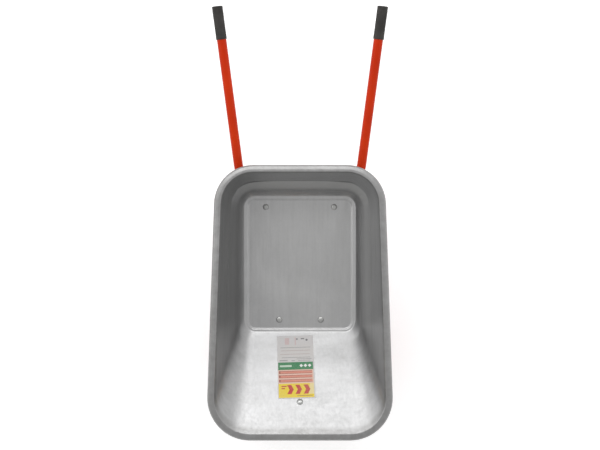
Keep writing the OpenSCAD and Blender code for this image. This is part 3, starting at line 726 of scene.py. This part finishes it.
CRANK_LOW_Y, CRANK_HIGH_Y = FLOOR_REAR + 36 * MM, MOUTH_REAR - 8 * MM
KNEE_Y = NOSE.y + (NOSE.z - UNDER_FLOOR) / math.tan(SLOPE_ANGLE)
half_route = [
    handle_at(GRIP_END_Y - 5 * MM),
    handle_at(CRANK_HIGH_Y),
    Vector((frame_x(CRANK_LOW_Y), CRANK_LOW_Y, UNDER_FLOOR)),
    Vector((frame_x(KNEE_Y), KNEE_Y, UNDER_FLOOR)),
    Vector((frame_x(NOSE.y), NOSE.y, NOSE.z)),
]
half_bends = [0, 60 * MM, 60 * MM, 60 * MM, 44 * MM]
whole_route = half_route + mirrored(half_route[::-1])
main_tube = route_object("frame_tube_bent", whole_route, half_bends + half_bends[::-1])
BENT_TUBE.run(main_tube, Radius=TUBE_R)
fit(main_tube, "frame", "frame_paint", "frame_tube")

FOOT_T, BRACE_Z = 4 * MM, 150 * MM
leg_low = FOOT_T + LEG_R
leg_splay = 70 * MM
leg_route = [
    Vector((frame_x(-80 * MM), -80 * MM, UNDER_FLOOR)),
    Vector((frame_x(36 * MM) + leg_splay, 36 * MM, leg_low)),
    Vector((frame_x(152 * MM) + leg_splay, 152 * MM, leg_low)),
    Vector((frame_x(85 * MM), 85 * MM, UNDER_FLOOR)),
]
leg_bends = [0, 40 * MM, 40 * MM, 0]
brace_end = leg_route[2].lerp(leg_route[3], (BRACE_Z - leg_low) / (UNDER_FLOOR - leg_low))


def inset(points, by):
    """The same route with its two ends drawn in."""
    out = [p.copy() for p in points]
    out[0] += (points[1] - points[0]).normalized() * by
    out[-1] += (points[-2] - points[-1]).normalized() * by
    return out


def weld_line(tube_a, tube_b, r_a, r_b, into, count=48):
    """Where tube a, which runs towards its end at tube_a[1], meets the side of tube b."""
    start, end = tube_a
    d = (end - start).normalized()
    axis = (tube_b[1] - tube_b[0]).normalized()
    side = d.cross(axis).normalized()
    up = side.cross(d).normalized()
    line = []
    for k in range(count):
        a = 2 * math.pi * k / count
        p = start + (side * math.cos(a) + up * math.sin(a)) * (r_a + into)
        rel, flat = p - tube_b[0], d - axis * d.dot(axis)
        rel -= axis * rel.dot(axis)
        qa, qb, qc = flat.dot(flat), 2 * rel.dot(flat), rel.dot(rel) - (r_b + into) ** 2
        root = math.sqrt(max(qb * qb - 4 * qa * qc, 0))
        line.append(p + d * (-qb - root) / (2 * qa))
    return line


floor_run = (Vector((frame_x(-0.2), -0.2, UNDER_FLOOR)), Vector((frame_x(0.15), 0.15, UNDER_FLOOR)))
welds = []
for side, turn in (("right", list), ("left", mirrored)):
    leg = route_object("leg_" + side + "_bent", turn(inset(leg_route, 6 * MM)), leg_bends)
    BENT_TUBE.run(leg, Radius=LEG_R, Sides=32)
    fit(leg, "frame", "frame_paint", "leg_" + side)
    for end, corner in ((0, 1), (3, 2)):
        line = weld_line((leg_route[corner], leg_route[end]), floor_run, LEG_R, TUBE_R, 0.4 * MM)
        welds.append(turn(line))
    across = (Vector((0, brace_end.y, brace_end.z)), Vector((brace_end.x, brace_end.y, brace_end.z)))
    welds.append(turn(weld_line(across, (leg_route[2], leg_route[3]), BRACE_R, LEG_R, 0.3 * MM)))
brace_ends = [Vector((x, brace_end.y, brace_end.z)) for x in (-brace_end.x + 3 * MM, brace_end.x - 3 * MM)]
brace = route_object("leg_brace_bar", brace_ends, [0, 0])
BENT_TUBE.run(brace, Radius=BRACE_R, Sides=28)
fit(brace, "frame", "frame_paint", "leg_brace")
for i, line in enumerate(welds):
    bead = WELD.run(route_object("weld_bead_%d" % (i + 1), line, closed=True), Radius=2.0 * MM)
    fit(bead, "frame", "frame_paint")

for side in SIDES:
    fit(softened("foot_" + side, PAINT, 0.8 * MM), "frame", "frame_paint", "foot_" + side)
    fit(softened("axle_bracket_" + side, PAINT, 0.7 * MM), "frame", "frame_paint", "axle_bracket_" + side)

# ---------------------------------------------------------------- grips


def grip_mesh(flip):
    """A closed sleeve with lengthwise flutes, a plain collar and two rings at its end."""
    r = GRIP_D / 2
    stations = []  # (distance from the end, radius, depth of the flutes)
    dome = [(0.0, 0.55, 0), (0.05, 0.82, 0), (0.6, 0.93, 0), (1.8, 0.985, 0), (3.2, 1.0, 0)]
    for d, k, depth in dome:
        stations.append((d * MM, r * k, depth))
    for start in (8, 12.5):
        stations += [((start - 1.2) * MM, r, 0), (start * MM, r - 0.9 * MM, 0), ((start + 1.2) * MM, r, 0)]
    stations += [(17 * MM, r, 0), (20 * MM, r, 0.6 * MM), (30 * MM, r - 0.2 * MM, 0.9 * MM)]
    stations += [(d * MM, r - 0.3 * MM, 0.9 * MM) for d in (45, 60, 75, 88)]
    stations += [(97 * MM, r, 0.6 * MM), (100 * MM, r, 0), (106 * MM, r, 0), (107.4 * MM, r - 0.7 * MM, 0)]
    stations += [(GRIP_L, TUBE_R + 0.9 * MM, 0), (GRIP_L, TUBE_R - 0.4 * MM, 0)]
    stations.append((60 * MM, TUBE_R - 0.6 * MM, 0))
    count, flutes = 144, 24
    axis = -HANDLE_DIR
    side = axis.cross(Vector((0, 0, 1))).normalized()
    up = side.cross(axis).normalized()
    points, faces = [], []
    for d, radius, depth in stations:
        for k in range(count):
            a = 2 * math.pi * k / count
            dent = depth * (0.5 - 0.5 * math.cos(a * flutes)) ** 1.5
            points.append(GRIP_END + axis * d + (side * math.cos(a) + up * math.sin(a)) * (radius - dent))
    for s in range(len(stations) - 1):
        for k in range(count):
            j = (k + 1) % count
            faces.append((s * count + k, s * count + j, (s + 1) * count + j, (s + 1) * count + k))
    faces.append(tuple(range(count)))
    last = (len(stations) - 1) * count
    faces.append(tuple(last + k for k in range(count)))
    return outward(mesh_from("grip", mirrored(points) if flip else points, faces))


for side in SIDES:
    grip = make_piece("grip_" + side + "_sleeve", grip_mesh(side == "left"), GRIP, smooth=38)
    fit(grip, "frame", "grip_rubber", "grip_" + side)

# ---------------------------------------------------------------- fasteners

BOLT_R, THREAD_PITCH, THREAD_DEPTH = 4 * MM, 1.25 * MM, 0.45 * MM
HEAD_R, DOME_H = 11 * MM, 4.5 * MM
NUT_R, NUT_T, WASHER_T = 7.5 * MM, 6.4 * MM, 1.6 * MM


def hex_nut(across, height, bore):
    """A nut with chamfered corners, standing on its own origin."""
    bm = bmesh.new()
    rings = []
    count = 36
    for level, reach in ((0, 0.88), (0.09, 1.02), (0.91, 1.02), (1, 0.88)):
        ring = []
        for k in range(count):
            a = 2 * math.pi * k / count
            flat = across * math.cos(math.pi / 6) / math.cos((a % (math.pi / 3)) - math.pi / 6)
            r = min(flat, across * reach)
            ring.append(bm.verts.new((r * math.cos(a), r * math.sin(a), level * height)))
        rings.append(ring)
    turns = [2 * math.pi * k / count for k in range(count)]
    for r, level in ((bore + 0.5 * MM, 1), (bore, 0.93), (bore, 0.07), (bore + 0.5 * MM, 0)):
        rings.append([bm.verts.new((r * math.cos(a), r * math.sin(a), level * height)) for a in turns])
    for a, b in zip(rings, rings[1:] + rings[:1]):
        for k in range(count):
            j = (k + 1) % count
            bm.faces.new((a[k], a[j], b[j], b[k]))
    bmesh.ops.recalc_face_normals(bm, faces=bm.faces)
    mesh = bpy.data.meshes.new("nut")
    bm.to_mesh(mesh)
    bm.free()
    return mesh


def revolved_z(section, segments=40):
    """A solid turned about Z from (radius, z) points that start and end on the axis."""
    points, faces = [], []
    n = len(section)
    for k in range(segments):
        a = 2 * math.pi * k / segments
        points += [(r * math.cos(a), r * math.sin(a), z) for r, z in section]
    for k in range(segments):
        for i in range(n - 1):
            j = (k + 1) % segments
            faces.append((k * n + i, j * n + i, j * n + i + 1, k * n + i + 1))
    return outward(mesh_from("turned", points, faces))


def carriage_bolt(grip_t):
    """Domed head on the sheet and a threaded shank down through the tube."""
    quarter = [math.pi / 2 * k / 9 for k in range(10)]
    section = [(HEAD_R * math.sin(a), DOME_H * math.cos(a)) for a in quarter]
    section += [(HEAD_R - 0.4 * MM, -0.05 * MM), (BOLT_R, -0.1 * MM)]
    end = -grip_t - 12 * MM
    z = -grip_t + 1 * MM
    section.append((BOLT_R, z))
    while z > end + THREAD_PITCH:
        section += [(BOLT_R - THREAD_DEPTH, z - THREAD_PITCH / 2), (BOLT_R, z - THREAD_PITCH)]
        z -= THREAD_PITCH
    section += [(3.3 * MM, end), (0.0, end)]
    return revolved_z(section)


def spot_object(name, spots):
    mesh = bpy.data.meshes.new(name)
    mesh.from_pydata([tuple(p) for p, _ in spots], [], [])
    directions = [c for _, up in spots for c in up]
    mesh.attributes.new("up", "FLOAT_VECTOR", "POINT").data.foreach_set("vector", directions)
    obj = bpy.data.objects.new(name, mesh)
    bpy.context.scene.collection.objects.link(obj)
    return obj


AT_SPOTS = spot_rule("fasteners", ZINC)


def set_fasteners(name, model, spots, body, slot, *nodes):
    pattern = make_piece(name + "_pattern", model, None, smooth=35)
    obj = AT_SPOTS.run(spot_object(name, spots), Template=pattern, smooth=35)
    bpy.data.objects.remove(pattern)
    fit(obj, body, slot, *nodes)


UP = Vector((0, 0, 1))
floor_spots = [Vector((s * x, y, FLOOR_Z)) for s in (1, -1)
               for x, y in ((REAR_BOLT_X, REAR_BOLT_Y), (FRONT_BOLT_X, FRONT_BOLT_Y))]
floor_grip = SHEET + SEAT + 2 * TUBE_R
slope_grip = SLOPE_T + SEAT + 2 * TUBE_R
tray_spots = [(p, UP) for p in floor_spots] + [(SLOPE_BOLT, SLOPE_UP)]
set_fasteners("tray_bolts_set", carriage_bolt(slope_grip), tray_spots, "frame", "zinc_fasteners", "tray_bolts")
nut_spots = [(p - UP * (floor_grip + WASHER_T + NUT_T), UP) for p in floor_spots]
nut_spots.append((SLOPE_BOLT - SLOPE_UP * (slope_grip + WASHER_T + NUT_T), SLOPE_UP))
tray_nut = hex_nut(NUT_R, NUT_T, BOLT_R)
set_fasteners("tray_nuts_set", tray_nut, nut_spots, "frame", "zinc_fasteners", "tray_nuts")
for node in ("tray_washers", "bracket_washers", "bracket_bolts", "bracket_nuts"):
    fit(softened(node, ZINC, 0.25 * MM), "frame", "zinc_fasteners", node)
for node in ("axle", "axle_spacers", "hub_sleeves", "axle_washers", "split_pins"):
    fit(softened(node, STEEL, 0.4 * MM), "frame", "axle_steel", node)

# ---------------------------------------------------------------- wheels

TYRE_R, TYRE_W = (tyre_hi.z - tyre_lo.z) / 2, tyre_hi.x - tyre_lo.x
BEAD_R, CAVITY_R = 101.5 * MM, 40.5 * MM
RIM_HALF_W, RIM_T = 33 * MM, 2 * MM
TREAD_PITCHES = 48


def tyre_section():
    """The carcass's outline as (radius, x), from one bead over the crown to the other and back inside."""
    middle = TYRE_R - TYRE_W / 2
    half = [
        (BEAD_R + 0.3 * MM, 18 * MM), (BEAD_R + 0.3 * MM, 30 * MM), (BEAD_R + 11 * MM, 30.4 * MM),
        (BEAD_R + 17 * MM, 33.5 * MM), (middle - 20 * MM, 43 * MM), (middle - 6 * MM, 47.2 * MM),
        (middle + 8 * MM, 47.4 * MM), (middle + 20 * MM, 44.5 * MM), (middle + 29 * MM, 41 * MM),
        (TYRE_R - 13 * MM, 37.5 * MM), (TYRE_R - 9 * MM, 30 * MM), (TYRE_R - 7.5 * MM, 15 * MM),
        (TYRE_R - 7 * MM, 0),
    ]
    bends = [r * MM for r in (0, 1, 3, 6, 10, 9, 9, 9, 7, 5, 10, 10, 0)]
    outer = rounded(half, bends, 4)
    outer += [Vector((r, -x)) for r, x in reversed(outer[:-1])]
    inner = []
    for k in range(25):
        a = math.radians(-146 + 292 * k / 24)
        inner.append(Vector((middle + CAVITY_R * math.cos(a), CAVITY_R * math.sin(a))))
    return outer + inner


def lug(x, width, length, slant, base, top):
    """One tread block at the top of the tyre: a bevelled box that follows the crown."""
    lines = []
    bevel = ((base, 0.0), (top - 1.0 * MM, 0.25 * MM), (top - 0.2 * MM, 0.9 * MM), (top, 1.6 * MM))
    for level, shrink in bevel:
        ring = []
        for u, v in ((-1, -1), (0, -1), (1, -1), (1, 1), (0, 1), (-1, 1)):
            px = x + u * (width / 2 - shrink)
            py = v * (length / 2 - shrink) + u * slant
            crown = (px / (TYRE_W / 2)) ** 2 * 4.5 * MM
            r = level - crown
            a = py / TYRE_R
            ring.append((WHEEL_X + px, AXLE_Y + r * math.sin(a), AXLE_Z + r * math.cos(a)))
        lines.append(ring)
    return lines


def tread_pitch():
    """Two pitches of the tread, mirrored: ribs cut by slanted sipes and open shoulder blocks."""
    pitch = 2 * math.pi * TYRE_R / TREAD_PITCHES
    blocks = []
    for x, width, length, slant in (
        (-31.5 * MM, 11 * MM, 0.56, -1.6 * MM), (-14 * MM, 15 * MM, 0.80, 2.2 * MM),
        (3.2 * MM, 13 * MM, 0.80, -2.2 * MM), (20.5 * MM, 11.5 * MM, 0.62, 1.8 * MM),
        (35 * MM, 6 * MM, 0.5, 0.6 * MM),
    ):
        blocks.append((x, width, length * pitch, slant, 0.0))
        blocks.append((-x, width, length * pitch, -slant, pitch))
    points, faces = [], []
    for x, width, length, slant, shift in blocks:
        rings = lug(x, width, length, slant, TYRE_R - 9.5 * MM, TYRE_R - 0.02 * MM)
        turn = Matrix.Rotation(-shift / TYRE_R, 3, "X")
        start = len(points)
        for ring in rings:
            for p in ring:
                rel = turn @ Vector((p[0], p[1] - AXLE_Y, p[2] - AXLE_Z))
                points.append((rel.x, rel.y + AXLE_Y, rel.z + AXLE_Z))
        for row in range(start, start + 6 * (len(rings) - 1), 6):
            for i in range(6):
                j = (i + 1) % 6
                faces.append((row + i, row + j, row + 6 + j, row + 6 + i))
        top = start + 6 * (len(rings) - 1)
        faces += [(top, top + 1, top + 4, top + 5), (top + 1, top + 2, top + 3, top + 4)]
        faces += [(start + 5, start + 4, start + 1, start), (start + 4, start + 3, start + 2, start + 1)]
    return outward(mesh_from("tread pitch", points, faces))


def rim_line():
    """The pressed half from its bolting face out to the flange, as (radius, x)."""
    drop = 78 * MM
    return rounded([
        (27.5 * MM, 3 * MM), (55 * MM, 3 * MM), (60 * MM, 6.5 * MM), (drop - 1 * MM, 6.5 * MM),
        (drop, 17 * MM), (BEAD_R - 7 * MM, 17.5 * MM), (BEAD_R - 1 * MM, 20 * MM),
        (BEAD_R - 1 * MM, RIM_HALF_W - 1 * MM), (BEAD_R + 12 * MM, RIM_HALF_W - 1 * MM),
        (BEAD_R + 13.6 * MM, RIM_HALF_W + 0.8 * MM),
    ], [0, 4 * MM, 4 * MM, 5 * MM, 4 * MM, 4 * MM, 4 * MM, 3 * MM, 2.5 * MM, 0], 5)


def mirror_x(mesh, about):
    for v in mesh.vertices:
        v.co.x = 2 * about - v.co.x
    return outward(mesh)


def sidewall_rib():
    """A short raised rib on each shoulder, at the top of the tyre."""
    middle = TYRE_R - TYRE_W / 2
    points, faces = [], []
    for sign in (1, -1):
        start = len(points)
        for r, out in ((middle + 14 * MM, 46.0), (middle + 22 * MM, 43.8), (middle + 30 * MM, 40.4)):
            for half, lift in ((-1.5, -1.5), (-0.8, 0.9), (0.8, 0.9), (1.5, -1.5)):
                points.append((WHEEL_X + sign * (out + lift) * MM, AXLE_Y + half * MM, AXLE_Z + r))
        for row in (start, start + 4):
            for i in range(4):
                j = (i + 1) % 4
                faces.append((row + i, row + j, row + 4 + j, row + 4 + i))
        faces += [tuple(start + i for i in range(4)), tuple(start + 8 + i for i in range(4))]
    return outward(mesh_from("rib", points, faces))


def on_side(mesh, side):
    """The meshes are made for the right wheel; the left one's are their mirror image."""
    return mirror_x(mesh, 0.0) if side == "left" else mesh


TREAD = ring_rule("tread blocks", TYRE)
SIDE_RIBS = ring_rule("sidewall ribs", TYRE)
centre = (WHEEL_X, AXLE_Y, AXLE_Z)
for side in SIDES:
    body = "wheel_" + side
    carcass = on_side(turned(tyre_section(), 120, centre), side)
    fit(make_piece("tyre_" + side + "_carcass", carcass, TYRE, smooth=50), body, "tyre_rubber", "tyre_" + side)
    for name, block, rule, count in (
        ("_tread", tread_pitch(), TREAD, TREAD_PITCHES // 2), ("_ribs", sidewall_rib(), SIDE_RIBS, 72)
    ):
        ring = make_piece("tyre_" + side + name, block, TYRE)
        rule.run(ring, Count=count, Centre=centre, smooth=30)
        on_side(ring.data, side)
        fit(ring, body, "tyre_rubber")
    pressed = thickened(rim_line(), RIM_T)
    halves = {"outer": turned(pressed, 96, centre), "inner": mirror_x(turned(pressed, 96, centre), WHEEL_X)}
    for half, mesh in halves.items():
        rim_half = make_piece("rim_" + half + "_" + side, on_side(mesh, side), PAINT, smooth=50)
        fit(rim_half, body, "rim_paint", "rim_" + half + "_half_" + side)
    fit(softened("hub_" + side, STEEL, 0.6 * MM), body, "axle_steel", "hub_" + side)
    for node in ("rim_bolts_", "rim_nuts_"):
        fit(softened(node + side, ZINC, 0.25 * MM), body, "zinc_fasteners", node + side)
    for node in ("valve_stem_", "bearing_seals_"):
        fit(softened(node + side, BLACK, 0.15 * MM), body, "black_rubber", node + side)
    fit(softened("valve_cap_" + side, BLACK, 0.3 * MM), body, "cap_plastic", "valve_cap_" + side)
    refinish("inner_tube_" + side, BLACK)
    refinish("bearing_outer_races_" + side, GROUND)
    refinish("bearing_balls_" + side, GROUND)
refinish("bearing_inner_races", GROUND)

# ---------------------------------------------------------------- label

LABEL_W, LABEL_L = 130 * MM, 238.7 * MM
LABEL_COLS, LABEL_ROWS = 130, 239  # cells of one millimetre, each with one ink
LABEL_X, LABEL_S, LABEL_TURN = -14.6 * MM, 16 * MM, math.radians(2)
PAPER = (0.62, 0.60, 0.60)
GREEN, YELLOW, RED = (0.008, 0.20, 0.065), (0.80, 0.60, 0.008), (0.50, 0.022, 0.014)
PINK, PEACH, WHITE, GREY = (0.68, 0.24, 0.17), (0.78, 0.52, 0.42), (0.85, 0.85, 0.83), (0.30, 0.30, 0.31)


def inside(u, v, u0, u1, v0, v1):
    return u0 <= u <= u1 and v0 <= v <= v1


def ink_at(u, v):
    """The colour printed at u and v millimetres from the left and the top: bars and shapes, no lettering."""
    if u < 2.5 or u > 125.5 or v > 236:
        return PAPER
    if v < 103:  # pale block with small marks and thin rules
        if inside(u, v, 28, 44, 8, 34) or inside(u, v, 64, 68, 6, 36):
            return (0.60, 0.47, 0.47)
        dots = math.hypot(u - 72, v - 13) < 3.2 or math.hypot(u - 107, v - 17) < 4.2
        if dots or inside(u, v, 86, 98, 10, 14):
            return (0.14, 0.14, 0.15)
        for top, start, end, dark in ((45, 12, 120, 1), (57, 14, 118, 0), (71, 10, 116, 0), (84, 16, 118, 1)):
            if inside(u, v, start, end, top, top + 1.6):
                return GREY if dark else (0.46, 0.38, 0.38)
        bars = ((8, 36, 94, 98), (50, 62, 96, 99), (68, 122, 90, 92), (74, 118, 96, 98))
        return GREY if any(inside(u, v, *bar) for bar in bars) else PAPER
    if v < 132:  # green band with a row of diamonds and a bar
        for middle in (84, 99, 114):
            if abs(u - middle) + abs(v - 117) < 6.6:
                return WHITE
        if inside(u, v, 8, 50, 114, 121):
            return (0.55, 0.68, 0.56)
        return GREEN
    if v < 184:  # three ruled boxes
        row = (v - 136) % 16
        if row < 11 and 4 < u < 122:
            edge = row < 1.6 or row > 9.4 or u < 10
            return (0.34, 0.09, 0.06) if edge else PINK
        return PEACH
    for k in range(3):  # a yellow block with three bold chevrons
        reach = abs(v - 206)
        at = u - (40 + 29 * k) + reach * 0.5
        if reach < 17 and 0 < at < 15:
            return RED
    if inside(u, v, 12, 30, 192, 196) or inside(u, v, 12, 24, 200, 204):
        return RED
    if inside(u, v, 66, 120, 228, 230.5):
        return (0.45, 0.25, 0.03)
    if u > 112 - (v - 184) * 0.1 and v < 224:
        return (0.80, 0.66, 0.30)
    return YELLOW


def label_mesh():
    """The printed film, laid on the tray's front slope with a slight crinkle."""
    cols, rows = LABEL_COLS, LABEL_ROWS
    along = (math.sin(LABEL_TURN), math.cos(LABEL_TURN))
    points, faces, inks = [], [], []
    for j in range(rows + 1):
        for i in range(cols + 1):
            a, b = (i / cols - 0.5) * LABEL_W, (j / rows - 0.5) * LABEL_L
            x = LABEL_X + a * along[1] + b * along[0]
            s = LABEL_S + LABEL_L / 2 + b * along[1] - a * along[0]
            start = SLOPE_FOOT + SLOPE_DIR * s + SLOPE_UP * 20 * MM + Vector((x, 0, 0))
            spot = tray_surface.ray_cast(start, -SLOPE_UP)[0]
            crinkle = 0.14 * MM * (noise.noise(Vector((a * 22, b * 22, 3.1))) + 1)
            points.append(spot + SLOPE_UP * (0.25 * MM + crinkle))
    for j in range(rows):
        for i in range(cols):
            k = j * (cols + 1) + i
            faces.append((k, k + 1, k + cols + 2, k + cols + 1))
            inks.append(ink_at(i + 0.5, j + 0.5))
    mesh = mesh_from("label", points, faces)
    layer = mesh.color_attributes.new("ink", "FLOAT_COLOR", "CORNER")
    for poly, ink in zip(mesh.polygons, inks):
        for loop in poly.loop_indices:
            layer.data[loop].color = (*ink, 1.0)
    return mesh


label = make_piece("label_sheet", label_mesh(), FILM, smooth=60)
if label.data.polygons[0].normal.dot(SLOPE_UP) < 0:
    label.data.flip_normals()
film = label.modifiers.new("film", "SOLIDIFY")
film.thickness, film.offset = 0.12 * MM, -1
fit(label, "frame", "label_film", "label")

# ---------------------------------------------------------------- floor, light and camera

floor_mesh = mesh_from("floor", [(-6, -6, 0), (6, -6, 0), (6, 6, 0), (-6, 6, 0)], [(0, 1, 2, 3)])
pale = rgb(0.93, 0.93, 0.93)
pale_floor = Finish(
    "pale floor", Roughness=0.9, Base_Color=pale, Emission_Color=rgb(1, 1, 1), Emission_Strength=0.40
)
floor = make_piece("floor", floor_mesh, pale_floor.material)
floor.location.z = -0.5 * MM
floor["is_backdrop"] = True


def softbox(name, place, aim, size, power):
    data = bpy.data.lights.new(name, "AREA")
    data.shape, data.size, data.size_y, data.energy = "RECTANGLE", size[0], size[1], power
    lamp = bpy.data.objects.new(name, data)
    lamp.location = place
    lamp.rotation_euler = (Vector(aim) - Vector(place)).to_track_quat("-Z", "Y").to_euler()
    bpy.context.scene.collection.objects.link(lamp)


softbox("rear_softbox", (-0.5, 2.5, 3.3), (0, -0.5, 0.4), (4.5, 1.6), 47)
softbox("left_softbox", (-3.4, 0.6, 3.0), (0, 0, 0.4), (2.5, 2.5), 12)
softbox("right_softbox", (3.6, 0.2, 3.0), (0, 0, 0.4), (2.5, 2.5), 6)

world = bpy.data.worlds.new("studio")
world.use_nodes = True
nodes, links = world.node_tree.nodes, world.node_tree.links
direction = nodes.new("ShaderNodeSeparateXYZ")
links.new(nodes.new("ShaderNodeTexCoord").outputs["Generated"], direction.inputs[0])
shade = nodes.new("ShaderNodeMath")
shade.operation = "MULTIPLY"
gradients = (("Z", 0.85, 0.0, 0.78, 1.0), ("Y", -1.0, 1.0, 0.62, 1.0))  # darker overhead and in front
for index, (axis, low, high, dark, light) in enumerate(gradients):
    fall = nodes.new("ShaderNodeMapRange")
    links.new(direction.outputs[axis], fall.inputs["Value"])
    for key, value in (("From Min", low), ("From Max", high), ("To Min", dark), ("To Max", light)):
        fall.inputs[key].default_value = value
    links.new(fall.outputs[0], shade.inputs[index])
links.new(shade.outputs[0], nodes["Background"].inputs["Strength"])
nodes["Background"].inputs["Color"].default_value = (1, 1, 1, 1)
scene = bpy.context.scene
scene.world = world
scene.view_settings.view_transform = "Standard"

camera_data = bpy.data.cameras.new("camera")
camera_data.lens, camera_data.sensor_width = 46.2, 36
camera = bpy.data.objects.new("camera", camera_data)
camera.location = (0, 0, 3.195)
bpy.context.scene.collection.objects.link(camera)
scene.camera = camera

low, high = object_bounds()
{"cad": [list(cad_box[0]), list(cad_box[1])], "visual": [list(low), list(high)]}
